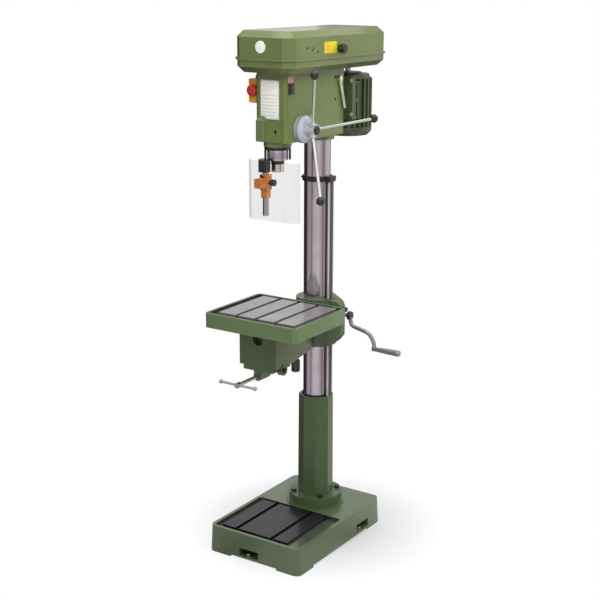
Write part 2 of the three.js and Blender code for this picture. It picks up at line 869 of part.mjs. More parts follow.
// The spindle: nose with its taper, shaft, and the splined top that slides in the drive pulley.
function spindleBody() {
  const top = headHeight + trayHeight + lidHeight - spindleTopClear;
  const shoulder = -quillDrop - collarHeight - gap;
  const low = shoulder - noseHeight;
  return turned([
    [taperMouth, low], [noseRadius, low], [noseRadius, shoulder], [spindleRadius, shoulder],
    [spindleRadius, top], [0, top], [0, low + taperDepth], [taperEnd, low + taperDepth],
  ], 'z', [0, 0, 0], midSides);
}

// A ball bearing's ring pair drawn as one ring with a groove in each face.
function bearingBody(low) {
  const inner = spindleRadius + gap;
  const high = low + bearingHeight;
  const middle = (inner + bearingRadius) / 2;
  const quarter = (bearingRadius - inner) / 4;
  return turned([
    [inner, low], [middle - quarter, low], [middle, low + bearingGroove], [middle + quarter, low],
    [bearingRadius, low], [bearingRadius, high], [middle + quarter, high], [middle, high - bearingGroove],
    [middle - quarter, high], [inner, high],
  ], 'z', [0, 0, 0], pulleySides);
}

// A stepped pulley standing on z = 0: radii from the bottom step up, with a groove in each.
function pulleyBody(radii, bore, sleeve, sleeveDrop) {
  const points = [[bore, 0]];
  const wall = (stepHeight - grooveWidth) / 2;
  radii.forEach((radius, i) => {
    const z = i * stepHeight;
    points.push([radius, z], [radius, z + wall], [radius - grooveDepth, z + wall]);
    points.push([radius - grooveDepth, z + wall + grooveWidth], [radius, z + wall + grooveWidth]);
    points.push([radius, z + stepHeight]);
  });
  points.push([bore, radii.length * stepHeight]);
  const body = turned(points, 'z', [0, 0, 0], pulleySides);
  if (sleeve <= bore) return body;
  const tube = [[bore, -sleeveDrop], [sleeve, -sleeveDrop], [sleeve, gap], [bore, gap]];
  return body.add(turned(tube, 'z', [0, 0, 0], pulleySides));
}

// The belt's loop round two circles on the Y axis, as an outline that hugs both.
function loopPlan(nearRadius, farRadius, nearY, farY) {
  const lean = Math.asin((nearRadius - farRadius) / (farY - nearY));
  const points = [];
  const arc = (radius, y, from, to) => {
    for (let i = 0; i <= fewSides; i += 1) {
      const turn = from + ((to - from) * i) / fewSides;
      points.push([radius * Math.cos(turn), y + radius * Math.sin(turn)]);
    }
  };
  arc(farRadius, farY, lean, Math.PI - lean);
  arc(nearRadius, nearY, Math.PI - lean, 2 * Math.PI + lean);
  return points;
}

// The belt, in the grooves of one step.
function beltBody(low) {
  const nearInner = (spindleSteps[beltStep] - grooveDepth + gap) / Math.cos(Math.PI / midSides);
  const farInner = (motorSteps[beltStep] - grooveDepth + gap) / Math.cos(Math.PI / midSides);
  const high = low + beltWidth;
  const loop = (thickness) => loopPlan(nearInner + thickness, farInner + thickness, -throat, motorDistance);
  const inner = slab(loop(0), 'z', low - overrun, high + overrun);
  return slab(loop(beltThickness), 'z', low, high).subtract(inner);
}

// Head casting, quill, spindle, pulley and belt.
function buildHead(machine) {
  const head = nest(machine, 0, 0, headBottom);
  put(head, 'head_casting', headBody(), 'hammered');
  const spindle = nest(head, 0, -throat, 0);
  put(spindle, 'quill', quillBody(), 'steel');
  put(spindle, 'spindle', spindleBody(), 'steel');
  put(spindle, 'lower_bearing', bearingBody(-quillDrop - collarHeight), 'steel');
  put(spindle, 'upper_bearing', bearingBody(quillLength - quillDrop - bearingHeight), 'steel');
  const cover = nest(head, 0, 0, headHeight + gap);
  const drive = nest(cover, 0, -throat, pulleyLift);
  const sleeveDrop = pulleyLift + headBridge;
  const bigPulley = pulleyBody(spindleSteps, spindleRadius + gap, sleeveRadius, sleeveDrop);
  put(drive, 'spindle_pulley', bigPulley, 'machined');
  const beltLow = pulleyLift + beltStep * stepHeight + (stepHeight - beltWidth) / 2;
  put(cover, 'drive_belt', beltBody(beltLow), 'dark');
  buildCover(cover);
  buildFeed(nest(head, 0, feedY, feedHeight));
  buildMotor(head);
  buildSwitches(head);
  buildGuard(nest(head, 0, -throat, 0));
}

// The tray: a bevelled pan with a hole for the spindle's sleeve, a slot for the motor and hinge lugs.
function trayBody() {
  const plan = coverPlan(0);
  const inside = coverPlan(trayWall);
  let body = loft([
    { ring: coverPlan(trayBevel), height: 0 },
    { ring: plan, height: trayBevel },
    { ring: plan, height: trayHeight },
  ]);
  body = body.subtract(loft([
    { ring: coverPlan(trayBevel + trayWall), height: trayWall },
    { ring: inside, height: trayBevel + trayWall },
    { ring: inside, height: trayHeight + overrun },
  ]));
  for (const side of [-1, 1]) {
    body = body.add(hingeLug(side * (hingeHalf - hingeLugWidth / 2), hingeLugWidth, -1));
  }
  const reach = hingeHalf + overrun;
  body = body.subtract(rod('y', hingePinRadius + gap, -reach, reach, [hingeX, 0, hingeZ], fewSides));
  body = body.subtract(rod('z', sleeveRadius + gap, -overrun, trayWall + overrun, [0, -throat, 0]));
  const slotHalf = motorShaftRadius + motorSlotRoom;
  const slotFront = motorDistance - tensionTravel - slotHalf;
  const way = roundedPlan(-slotHalf, slotHalf, slotFront, motorDistance + slotHalf, slotHalf - gap);
  return body.subtract(loft([{ ring: way, height: -overrun }, { ring: way, height: trayWall + overrun }]));
}

// A round knuckle on the hinge's axis, with a web to the tray (side -1) or the lid (side 1).
function hingeLug(y, width, side) {
  const round = rod('y', hingeBossRadius, y - width / 2, y + width / 2, [hingeX, 0, hingeZ], fewSides);
  const web = side < 0
    ? block(hingeX, -coverHalf + gap, y - width / 2, y + width / 2, trayHeight - hingeBossRadius, trayHeight)
    : block(hingeX, -coverHalf - gap, y - width / 2, y + width / 2, hingeZ, trayHeight + gap + lipHeight);
  return round.add(web);
}

// The lid: a bevelled shell with a lip, a knuckle on the left and a hole for the knob's stem.
function lidBody() {
  const low = trayHeight + gap;
  const top = low + lidHeight;
  const body = loft([
    { ring: coverPlan(-lipReach), height: low },
    { ring: coverPlan(-lipReach), height: low + lipHeight },
    { ring: coverPlan(0), height: low + lipHeight + gap },
    { ring: coverPlan(0), height: top - lidBevel },
    { ring: coverPlan(lidBevel), height: top },
  ]);
  const inside = loft([
    { ring: coverPlan(lidWall), height: low - overrun },
    { ring: coverPlan(lidWall), height: top - lidBevel - lidWall / 2 },
    { ring: coverPlan(lidBevel + lidWall / 2), height: top - lidWall },
  ]);
  const knuckle = 2 * (hingeHalf - hingeLugWidth - gap);
  const room = hingeBossRadius + gap;
  const lipTop = low + lipHeight + gap;
  let shell = body.subtract(inside);
  for (const side of [-1, 1]) {
    const y = side * (hingeHalf - hingeLugWidth / 2);
    const wide = hingeLugWidth / 2 + gap;
    shell = shell.subtract(block(hingeX - room, -coverHalf - gap, y - wide, y + wide, low - overrun, lipTop));
  }
  shell = shell.add(hingeLug(0, knuckle, 1));
  shell = shell.subtract(rod('y', hingePinRadius + gap, -hingeHalf, hingeHalf, [hingeX, 0, hingeZ], fewSides));
  const knob = [0, lidKnobY, low + lidKnobHeight];
  return shell.subtract(rod(
    'x', lidKnobNeck + gap, coverHalf - lidWall - overrun, coverHalf + overrun, knob, fewSides));
}

// The lid's latch knob, with a stem through the lid's wall.
function lidKnobBody() {
  const face = coverHalf + gap;
  const end = coverHalf + lidKnobReach;
  const waist = lidKnobRadius - lidWall;
  return turned([
    [0, coverHalf - 2 * lidWall], [lidKnobNeck, coverHalf - 2 * lidWall], [lidKnobNeck, face], [waist, face],
    [waist, face + lidKnobNeck], [lidKnobRadius, face + lidKnobNeck], [lidKnobRadius, end - lidWall],
    [waist, end], [0, end],
  ], 'x', [0, lidKnobY, trayHeight + gap + lidKnobHeight]);
}

function buildCover(cover) {
  put(cover, 'belt_tray', trayBody(), 'hammered');
  put(cover, 'lid', lidBody(), 'hammered');
  put(cover, 'lid_knob', lidKnobBody(), 'dark');
  const pin = rod('y', hingePinRadius, -hingeHalf, hingeHalf, [hingeX, 0, hingeZ], fewSides);
  put(cover, 'lid_hinge_pin', pin, 'steel');
}

// Feed shaft with its pinion, drum, hub, levers and knobs, and the return spring's cup.
// The local origin is on the shaft.
function buildFeed(feed) {
  const side = headWidth / 2;
  const cupEnd = -side - springCupWidth;
  const drumEnd = side + gap + drumWidth + drumTaper;
  const hubStart = drumEnd + gap;
  const hubEnd = hubStart + hubWidth;
  let shaft = rod('x', feedRadius, cupEnd + springCupWall + gap, hubEnd - gap, [0, 0, 0], midSides);
  const teeth = gearOutline(pinionTeeth, pinionToothSize, gearSlackShare * pinionToothSize);
  const outline = teeth.map(([u, v]) => [-u, v]);
  shaft = shaft.add(slab(outline, 'x', -pinionHalf, pinionHalf));
  put(feed, 'feed_shaft', shaft, 'steel');
  const bore = feedRadius + gap;
  put(feed, 'depth_drum', turned([
    [bore, side + gap], [drumRadius, side + gap], [drumRadius, side + gap + drumWidth],
    [drumFaceRadius, drumEnd], [bore, drumEnd],
  ], 'x', [0, 0, 0], manySides), 'drum');
  put(feed, 'feed_hub', hubBody(hubStart, hubEnd), 'steel');
  put(feed, 'hub_cap', turned([
    [0, hubEnd + gap], [feedRadius, hubEnd + gap], [feedRadius, hubEnd + hubCapWidth / 2],
    [feedRadius / 2, hubEnd + hubCapWidth], [0, hubEnd + hubCapWidth],
  ], 'x'), 'dark');
  buildLevers(feed, (hubStart + hubEnd) / 2);
  const cup = springCupRadius - springCupWall;
  put(feed, 'spring_housing', turned([
    [0, cupEnd], [springCupRadius, cupEnd], [springCupRadius, -side - gap], [cup, -side - gap],
    [cup, cupEnd + springCupWall], [0, cupEnd + springCupWall],
  ], 'x', [0, 0, 0], midSides), 'machined');
}

// Lays something built along +Z onto a lever's axis.
function onLever(body, turn, x) {
  const place = new THREE.Matrix4().makeTranslation(x, 0, 0);
  place.multiply(new THREE.Matrix4().makeRotationX(-turn));
  place.multiply(new THREE.Matrix4().makeRotationY(leverTilt));
  return body.transform(place.toArray());
}

function hubBody(start, end) {
  const middle = (start + end) / 2;
  let hub = rod('x', hubRadius, start, end, [0, 0, 0], midSides);
  for (const turn of leverTurns) {
    hub = hub.add(onLever(rod('z', leverBossRadius, 0, leverBossReach, [0, 0, 0], fewSides), turn, middle));
  }
  return hub.subtract(rod('x', feedRadius + gap, start - overrun, end + gap / 2, [0, 0, 0], midSides));
}

function buildLevers(feed, x) {
  const length = Math.hypot(leverLean, leverReach);
  leverTurns.forEach((turn, i) => {
    const seat = length + leverRadius - knobRadius;
    const bar = rod('z', leverRadius, leverBossReach + gap, seat - gap, [0, 0, 0], fewSides);
    put(feed, `feed_lever_${i + 1}`, onLever(bar, turn, x), 'steel');
    const ball = solid(new THREE.SphereGeometry(knobRadius, fewSides, fewSides / 2).rotateX(Math.PI / 2));
    const wide = knobRadius;
    const flat = block(-wide, wide, -wide, wide, -knobRadius - overrun, leverRadius - knobRadius);
    const knob = ball.subtract(flat).translate([0, 0, length]);
    put(feed, `lever_knob_${i + 1}`, onLever(knob, turn, x), 'dark');
  });
}

// Motor with fins, foot and terminal box; cowl, shaft and pulley; the plate with its two slides.
function buildMotor(head) {
  const motor = nest(head, 0, motorDistance, motorTop - headBottom);
  put(motor, 'motor_body', motorBody(), 'motor');
  const low = -motorLength - gap;
  const wall = motorRadius - cowlWall;
  put(motor, 'fan_cowl', turned([
    [0, low - cowlHeight], [motorRadius - cowlRound, low - cowlHeight],
    [motorRadius, low - cowlHeight + cowlRound], [motorRadius, low], [wall, low], [wall, low - cowlHeight + cowlRound],
    [wall - cowlRound, low - cowlHeight + cowlWall], [0, low - cowlHeight + cowlWall],
  ], 'z', [0, 0, 0], manySides), 'motor');
  const pulleyLow = headHeight + gap + pulleyLift + headBottom - motorTop;
  const shaftTop = pulleyLow + pulleySteps * stepHeight;
  put(motor, 'motor_shaft', rod('z', motorShaftRadius, noseFlangeHeight - shieldHeight, shaftTop), 'steel');
  const pulley = pulleyBody(motorSteps, motorShaftRadius + gap, 0, 0);
  put(nest(motor, 0, 0, pulleyLow), 'motor_pulley', pulley, 'machined');
  put(head, 'motor_plate', plateBody(), 'motor');
  put(head, 'tension_lever', tensionBody(), 'steel');
}

// The motor's stator housing, hung from its top face at z = 0.
function motorBody() {
  const fins = [];
  for (let i = 0; i < finCount; i += 1) {
    const turn = (2 * Math.PI * i) / finCount;
    const half = (Math.PI * finShare) / finCount;
    const root = motorRadius - finDepth;
    for (const [radius, at] of [[root, -half], [motorRadius, -half], [motorRadius, half], [root, half]]) {
      fins.push([radius * Math.cos(turn + at), radius * Math.sin(turn + at)]);
    }
  }
  let body = slab(fins, 'z', -motorLength, -shieldHeight);
  const crown = motorRadius - finDepth;
  body = body.add(rod('z', crown + finDepth / 2, -shieldHeight - gap, 0, [0, 0, 0], manySides, crown));
  body = body.add(rod('z', noseFlangeRadius, -gap, noseFlangeHeight));
  const face = plateBack + gap - motorDistance;
  const high = -footDrop;
  body = body.add(block(-footHalf, footHalf, face, face + footDepth, high - footHeight, high));
  for (const share of [footSlotShare + footSlotEdgeShare, 1 - footSlotEdgeShare]) {
    const z = high - footHeight * share;
    const y = face + footDepth / 2;
    body = body.subtract(block(
      footHalf - finDepth, footHalf + overrun, y, y + footSlotWidth, z, z + footHeight * footSlotShare));
  }
  const boxY = boxLength / 2;
  const boxTop = -shieldHeight - gap;
  body = body.add(block(-motorRadius - boxReach, 0, -boxY / 2, boxY, boxTop + gap - boxHeight, boxTop));
  return body.subtract(rod('z', motorShaftRadius + gap, -shieldHeight, noseFlangeHeight + overrun));
}

// The plate behind the head, with the two round slides that run into the head.
function plateBody() {
  const top = motorTop - headBottom - plateDrop;
  let body = block(-plateHalf, plateHalf, plateBack - plateThickness, plateBack, top - plateHeight, top);
  for (const side of [-1, 1]) {
    const start = plateBack - plateThickness - slideReach;
    const centre = [side * slideSpread, 0, slideHeight];
    body = body.add(rod('y', slideRadius, start, plateBack - gap, centre, fewSides));
  }
  return body;
}

// The lever that moves the motor: a pin into the head, a boss and a slim arm that hangs back and down.
function tensionBody() {
  const face = headWidth / 2 + gap;
  const pin = rod('x', tensionPin, headWidth / 2 - headWall, face + gap, [0, 0, 0], fewSides);
  const boss = rod('x', tensionBoss, face, face + 2 * tensionPin, [0, 0, 0], fewSides);
  const bar = rod('z', tensionRadius, 0, tensionLength, [0, 0, 0], fewSides);
  const turn = new THREE.Matrix4().makeTranslation(face + tensionPin, 0, 0);
  turn.multiply(new THREE.Matrix4().makeRotationX(Math.PI + tensionLean));
  return pin.add(boss).add(bar.transform(turn.toArray())).translate([0, tensionY, tensionHeight]);
}

// Emergency stop on the head's left and rocker switch on its right.
function buildSwitches(head) {
  const side = headWidth / 2 + gap;
  const high = stopBoxLow + stopBoxHeight;
  const stopX = -side - stopBoxWidth / 2;
  let box = block(-side - stopBoxWidth, -side, -stopBoxFront, stopBoxDepth - stopBoxFront, stopBoxLow, high);
  const bore = stopBoxDepth / 2 - stopBoxFront;
  const stopZ = high - stopDrop;
  box = box.subtract(rod('y', stopStem + gap, -stopBoxFront - overrun, bore, [stopX, 0, stopZ], midSides));
  put(head, 'stop_box', box, 'yellow');
  const face = -stopBoxFront - stopTravel - gap;
  put(head, 'stop_button', turned([
    [0, face - stopHeight], [stopRadius - stopTravel, face - stopHeight], [stopRadius, face - stopHeight / 2],
    [stopRadius, face], [stopStem, face], [stopStem, bore - stopTravel - gap], [0, bore - stopTravel - gap],
  ], 'y', [stopX, 0, stopZ], midSides), 'red');
  const [y0, y1] = [-switchY - switchWidth / 2, switchWidth / 2 - switchY];
  const [z0, z1] = [switchLow, switchLow + switchHeight];
  const frame = block(side, side + switchDepth, y0, y1, z0, z1);
  const well = block(
    side + switchDepth / 4, side + switchDepth + overrun,
    y0 + switchWall, y1 - switchWall, z0 + switchWall, z1 - switchWall);
  put(head, 'switch_frame', frame.subtract(well), 'dark');
  put(nest(head, side, -switchY, switchLow + switchHeight / 2), 'switch_rocker', rockerBody(), 'dark');
}

// The rocker: two faces that meet in a shallow valley on its pivot, which lies on Y through the origin.
function rockerBody() {
  const half = switchHeight / 2 - switchWall - rockerPlay;
  const wide = switchWidth / 2 - switchWall - rockerPlay / 2;
  const out = switchDepth + rockerLift;
  const heart = switchDepth / 2 + rockerPlay;
  return slab([[heart, -half / 2], [out, -half], [out - rockerLift / 2, 0], [out, half], [heart, half / 2],
    [heart - rockerPlay, 0]], 'y', -wide, wide);
}

// The chuck guard: a yoke on the head, a hexagon bar that turns in it, and a slider with the clear shield.
function buildGuard(guard) {
  put(guard, 'guard_yoke', yokeBody(), 'dark');
  const pivot = nest(guard, guardX, -guardY, 0);
  const low = -pivotBlockTop - pivotBlockHeight - hexLength;
  const shoulder = -pivotBlockTop - pivotBlockHeight - gap;
  const stem = rod('z', hexRadius / 2, shoulder - hexRadius, -pivotBlockTop - gap, [0, 0, 0], fewSides);
  put(pivot, 'guard_bar', rod('z', hexRadius, low, shoulder, [0, 0, 0], hexSides).add(stem), 'machined');
  put(pivot, 'guard_slider', sliderBody(), 'orange');
  const start = sliderWidth / 2 + knurlStand;
  const knobZ = -sliderLow + sliderHeight / 2;
  put(pivot, 'guard_knob', turned([
    [0, hexRadius + gap + gap], [knurlStem, hexRadius + gap + gap], [knurlStem, start], [knurlRadius, start],
    [knurlRadius, start + knurlWidth], [0, start + knurlWidth],
  ], 'x', [0, 0, knobZ], fewSides), 'dark');
  put(pivot, 'guard_shield', shieldBody(), 'clear');
}

// The yoke: a band with two legs under the head, and the block that the bar turns in.
function yokeBody() {
  const centre = [0, 0, 0];
  const inner = yokeRadius - yokeWall;
  let yoke = rod('z', yokeRadius, -gap - yokeBand, -gap, centre, manySides);
  const legs = rod('z', yokeRadius, -gap - yokeLegHeight, -gap, centre, manySides);
  const strap = block(-yokeRadius, yokeRadius, -yokeLegHalf, yokeLegHalf, -gap - yokeLegHeight, -gap);
  yoke = yoke.add(legs.intersect(strap.rotate([0, 0, THREE.MathUtils.radToDeg(yokeLegTurn)])));
  yoke = yoke.subtract(rod('z', inner, -yokeLegHeight - overrun, overrun, centre, manySides));
  const half = pivotBlockWidth / 2;
  const [low, high] = [-pivotBlockTop - pivotBlockHeight, -pivotBlockTop];
  const [left, right] = [guardX - half, guardX + half - yokeWall];
  let body = block(left, right, -guardY - half, -guardY + half - yokeWall, low, high);
  const neck = block(left - yokeBand, guardX, -guardY - yokeWall / 2, yokeWall - pivotBlockWidth, low, high);
  body = body.add(neck.subtract(rod('z', inner, low - overrun, overrun, centre, manySides)));
  body = body.subtract(rod('z', collarRadius + 2 * gap, high - overrun, overrun, centre, manySides));
  yoke = yoke.add(body).subtract(rod('z', noseRadius + 2 * gap, low - overrun, overrun, centre, midSides));
  return yoke.subtract(rod(
    'z', hexRadius / 2 + gap, low - overrun, high + gap, [guardX, -guardY, 0], fewSides));
}

// The slider: a block round the bar, a tail below it and an arm out to the shield.
function sliderBody() {
  const half = sliderWidth / 2;
  const tail = sliderTailWidth / 2 + gap;
  let body = block(-half, half, -half, half, -sliderLow, sliderHeight - sliderLow);
  body = body.add(block(-tail, tail, -tail, tail, -sliderLow - sliderTail, -sliderLow));
  const arm = (sliderHeight - armHeight) / 2 - sliderLow;
  const armFront = shieldWall + gap - shieldGap;
  body = body.add(block(-armWidth / 2, armWidth / 2, armFront, -half, arm, arm + armHeight));
  const [low, high] = [-sliderLow - sliderTail - overrun, sliderHeight - sliderLow + overrun];
  const knob = [0, 0, sliderHeight / 2 - sliderLow];
  body = body.subtract(rod('z', hexRadius + gap, low, high, [0, 0, 0], hexSides));
  return body.subtract(rod('x', knurlStem + gap, 0, half + overrun, knob, fewSides));
}

// The clear shield: flat in front, with a short curl back at the left and a longer one at the right.
function shieldBody() {
  const [left, right] = [-shieldLeft, shieldRight];
  const front = -shieldGap;
  const curl = (steps, x, y, from, to, radius) => Array.from({ length: steps + 1 }, (_, i) => {
    const turn = from + ((to - from) * i) / steps;
    return [x + radius * Math.cos(turn), y + radius * Math.sin(turn)];
  });
  const path = (radius) => [
    ...curl(curlSteps, left + shieldCurl / 2, front + shieldCurl, Math.PI, Math.PI * 1.5, radius),
    ...curl(curlSteps + 1, right - shieldCurl, front + shieldCurl, Math.PI * 1.5, Math.PI * 2, radius),
  ];
  const outline = [...path(shieldCurl), ...path(shieldCurl - shieldWall).reverse()];
  return slab(outline, 'z', -shieldTop - shieldDrop, -shieldTop);
}

// The table's tilting parts, about the trunnion's axis at the local origin.
function buildTilt(tilt) {
  put(tilt, 'table', tableBody(), 'casting');
  put(tilt, 'table_bracket', bracketBody(), 'casting');
  put(tilt, 'clamp_shoe', shoeBody(), 'hammered');
  put(tilt, 'clamp_screw', screwBody(), 'steel');
  const bar = [0, screwHeadLength / 2 - screwEnd, -clampDrop];
  let tommy = rod('x', tommyRadius, -tommyHalf, tommyHalf, bar, fewSides);
  for (const start of [-tommyHalf, tommyHalf - tommyKnobWidth]) {
    tommy = tommy.add(rod('x', tommyKnob, start, start + tommyKnobWidth, bar, fewSides));
  }
  put(tilt, 'tommy_bar', tommy, 'steel');
  put(tilt, 'index_plunger', turned([
    [0, -plungerLow], [plungerKnob, -plungerLow], [plungerKnob, plungerKnobHeight - plungerLow],
    [plungerStem, plungerKnobHeight - plungerLow], [plungerStem, -plungerSeat], [0, -plungerSeat],
  ], 'z', [plungerX, -plungerY, 0], fewSides), 'dark');
}

// The table: a rimmed tray with a slotted panel above, and ribs below.
function tableBody() {
  const half = tableWidth / 2;
  const top = pivotDrop;
  const low = pivotDrop - tableEdge;
  const plan = roundedPlan(-half, half, -tableFront, -tableBack, tableCorner);
  let body = loft([{ ring: plan, height: low }, { ring: plan, height: top }]);
  const inX = half - tableRim;
  const trough = roundedPlan(-inX, inX, tableRim - tableFront, -tableBack - tableRim, tableCorner - tableRim);
  const floor = top - tableTroughDrop;
  body = body.subtract(loft([{ ring: trough, height: floor }, { ring: trough, height: top + overrun }]));
  const panelTop = top - tablePanelDrop;
  const wide = tablePanelHalf;
  body = body.add(block(-wide, wide, -tablePanelFront, -tablePanelBack, floor - gap, panelTop));
  for (let i = 0; i < tableSlots; i += 1) {
    const x = (i - (tableSlots - 1) / 2) * tableSlotPitch;
    body = body.subtract(slot(x, -tablePanelFront - gap, -tablePanelBack + gap, panelTop));
  }
  const [x0, x1] = [bracketHalf + tableWall, half - tableWall];
  const [y0, y1] = [tableWall - tableFront, -tableBack - tableWall];
  const middle = (y0 + y1) / 2;
  for (const side of [-1, 1]) {
    for (const [a, b] of [[y0, middle - tableRib / 2], [middle + tableRib / 2, y1]]) {
      const [left, right] = side < 0 ? [-x1, -x0] : [x0, x1];
      body = body.subtract(block(left, right, a, b, low - overrun, top - tablePlate));
    }
  }
  return body;
}

// The bracket: a deep front block that narrows and rises towards the column, forked below for the shoe.
function bracketBody() {
  const top = pivotDrop - tableEdge - gap;
  const sideView = [
    [-bracketFront, top], [-bracketFront, -legDrop], [-forkBack, -legDrop],
    [-tableBack - gap, -bracketNeckLow], [-tableBack - gap, top],
  ];
  const planView = [
    [-bracketHalf, -bracketFront], [bracketHalf, -bracketFront], [bracketHalf, -bracketShoulder],
    [bracketNeckHalf, -tableBack - gap], [-bracketNeckHalf, -tableBack - gap], [-bracketHalf, -bracketShoulder],
  ];
  let body = slab(sideView, 'x', -bracketHalf, bracketHalf).intersect(slab(planView, 'z', -bracketLow, top));
  const archCentre = [0, 0, -archDrop - archRadius];
  const arch = rod('y', archRadius, -bracketFront - overrun, -forkBack, archCentre, manySides * 2);
  const archTop = -archDrop + overrun;
  const way = block(-forkHalf, forkHalf, -bracketFront - overrun, -forkBack, -2 * bracketLow, archTop);
  body = body.subtract(arch.intersect(way));
  body = body.subtract(rod('y', trunnionRadius + gap, -bracketFront - overrun, 0, [0, 0, 0], manySides));
  const plungerAt = [plungerX, -plungerY, 0];
  body = body.subtract(rod('z', plungerStem + gap, -bracketLow, gap - plungerSeat, plungerAt, fewSides));
  const lugAt = [0, -lugBack, -lugDrop];
  for (const [from, to] of [[forkHalf, bracketHalf + lugRaise], [-bracketHalf - lugRaise, -forkHalf]]) {
    body = body.add(rod('x', lugRadius, from, to, lugAt, midSides));
  }
  const outside = bracketHalf + lugRaise + overrun;
  return body.subtract(rod('x', boltRadius, -outside, outside, lugAt, fewSides));
}

// The shoe that the screw clamps in the fork, round on top, with the screw's boss below.
function shoeBody() {
  const half = forkHalf - gap;
  const [front, back] = [-bracketFront + gap, -forkBack - gap];
  const screwAt = [0, 0, -clampDrop];
  const bossFront = -bracketFront - overrun;
  const crown = rod('y', archRadius - gap, front, back, [0, 0, -archDrop - archRadius], manySides * 2);
  let body = crown.intersect(block(-half, half, front, back, -shoeDrop, 0));
  body = body.add(rod('y', clampBossRadius, bossFront, -clampBossBack, screwAt, midSides));
  const neck = block(-clampBossRadius, clampBossRadius, front, -clampBossBack, -clampDrop, -shoeDrop + gap);
  body = body.add(neck);
  return body.subtract(rod(
    'y', screwRadius + gap, bossFront - overrun, -clampBossBack + overrun, screwAt, fewSides));
}

// The clamp screw, with a bored head for the tommy bar.
function screwBody() {
  const centre = [0, 0, -clampDrop];
  const bar = rod('y', screwRadius, -screwEnd, -clampBossBack, centre, fewSides);
  const head = rod('y', screwHeadRadius, -screwEnd, screwHeadLength - screwEnd, centre, fewSides);
  const across = [0, screwHeadLength / 2 - screwEnd, -clampDrop];
  const bore = rod('x', tommyRadius + gap, -tommyHalf, tommyHalf, across, fewSides);
  return bar.add(head).subtract(bore);
}

// The carrier: a collar on the column, a gear housing on the right and the trunnion in front.
function carrierBody() {
  let body = rod('z', carrierRadius, 0, carrierHeight, [0, 0, 0], manySides);
  const view = [
    [columnRadius, housingLow], [rackFace + housingBevel, housingLow], [housingReach, housingSlope],
    [housingReach, housingHigh - housingBevel], [housingReach - housingBevel, housingHigh],
    [rackFace, carrierHeight], [columnRadius, carrierHeight],
  ];
  const plan = [
    [0, -housingFront], [rackFace, -housingFront], [housingReach, -housingNose],
    [housingReach, housingNose], [rackFace, housingBack], [0, housingBack],
  ];
  body = body.add(slab(view, 'y', -housingFront, housingBack).intersect(slab(plan, 'z', 0, carrierHeight)));
  const pivotZ = tableTop - pivotDrop - carrierBottom;
  const flange = -tableBack + gap;
  body = body.add(rod('y', trunnionFlange, flange, 0, [0, 0, pivotZ], manySides));
  body = body.add(rod('y', trunnionRadius, -trunnionEnd, flange + gap, [0, 0, pivotZ], manySides));
  return body.subtract(carrierBores());
}

// Bores of the carrier: column, rack, gear with its pin, worm and crank shaft.
function carrierBores() {
  const way = rackWidth / 2 + gap;
  const gear = [gearX, 0, gearZ - carrierBottom];
  const worm = [0, 0, crankHeight];
  const wormEnd = gearX + wormLength / 2 + gap;
  let bores = rod('z', columnRadius + gap, -overrun, carrierHeight + overrun, [0, 0, 0], manySides);
  bores = bores.add(block(0, rackFace + gap, -way, way, -overrun, carrierHeight + overrun));
  bores = bores.add(rod('y', gearTip + gap, -gearHalf - gap, gearHalf + gap, gear));
  bores = bores.add(rod('y', gearPin + gap, -gearPinHalf - gap, housingBack + overrun, gear, fewSides));
  bores = bores.add(rod('x', wormTip + gap, rackFace, wormEnd, worm));
  return bores.add(rod('x', crankShaftRadius + gap, rackFace, housingReach + overrun, worm, midSides));
}

// The crank's shaft with a one-start worm: a round bar whose radius swells along a helix.
function crankShaftBody() {
  const start = rackFace + 2 * gap;
  const end = gearX + wormLength / 2;
  const sides = fewSides;
  const levels = [];
  for (let i = 0; i <= wormRings; i += 1) {
    const x = start + ((end - start) * i) / wormRings;
    const ring = Array.from({ length: sides }, (_, k) => {
      const turn = (2 * Math.PI * k) / sides;
      const radius = wormRadius + wormThread * Math.cos(turn - (2 * Math.PI * (x - start)) / wormPitch);
      return [radius * Math.cos(turn), radius * Math.sin(turn)];
    });
    levels.push({ ring, height: x });
  }
  const worm = loft(levels).transform(along.x.toArray());
  return worm.add(rod('x', wormRadius - wormThread, end - gap, crankShaftReach, [0, 0, 0], fewSides));
}

// The cranked arm: a hub on the shaft and an S-shaped round bar that ends in the grip's pin.
function crankArmBody() {
  const hubStart = housingReach + crankHubStand;
  const hub = rod('x', crankHubRadius, hubStart, crankShaftReach + crankHubWidth / 2, [0, 0, 0], midSides);
  const path = new THREE.CatmullRomCurve3([
    new THREE.Vector3(crankShaftReach, 0, -crankHubRadius / 2),
    ...armShares.map(([out, down]) => new THREE.Vector3(
      crankShaftReach + crankOffset * out, 0, -crankThrow * down)),
  ]);
  const round = new THREE.Shape(Array.from({ length: armSides }, (_, i) => {
    const turn = (2 * Math.PI * i) / armSides;
    return new THREE.Vector2(crankArmRadius * Math.cos(turn), crankArmRadius * Math.sin(turn));
  }));
  const bar = solid(new THREE.ExtrudeGeometry(round, { steps: armSteps, extrudePath: path }));
  const end = [crankShaftReach + crankOffset, 0, -crankThrow];
  const eye = rod('x', gripRadius, -crankArmRadius, crankArmRadius, end, fewSides);
  const pin = rod('x', crankPin, 0, crankArmRadius + gripLength - gap, end, fewSides);
  const shaft = rod('x', wormRadius - wormThread + gap, 0, crankShaftReach + gap, [0, 0, 0], fewSides);
  return hub.add(bar).add(eye).add(pin).subtract(shaft);
}

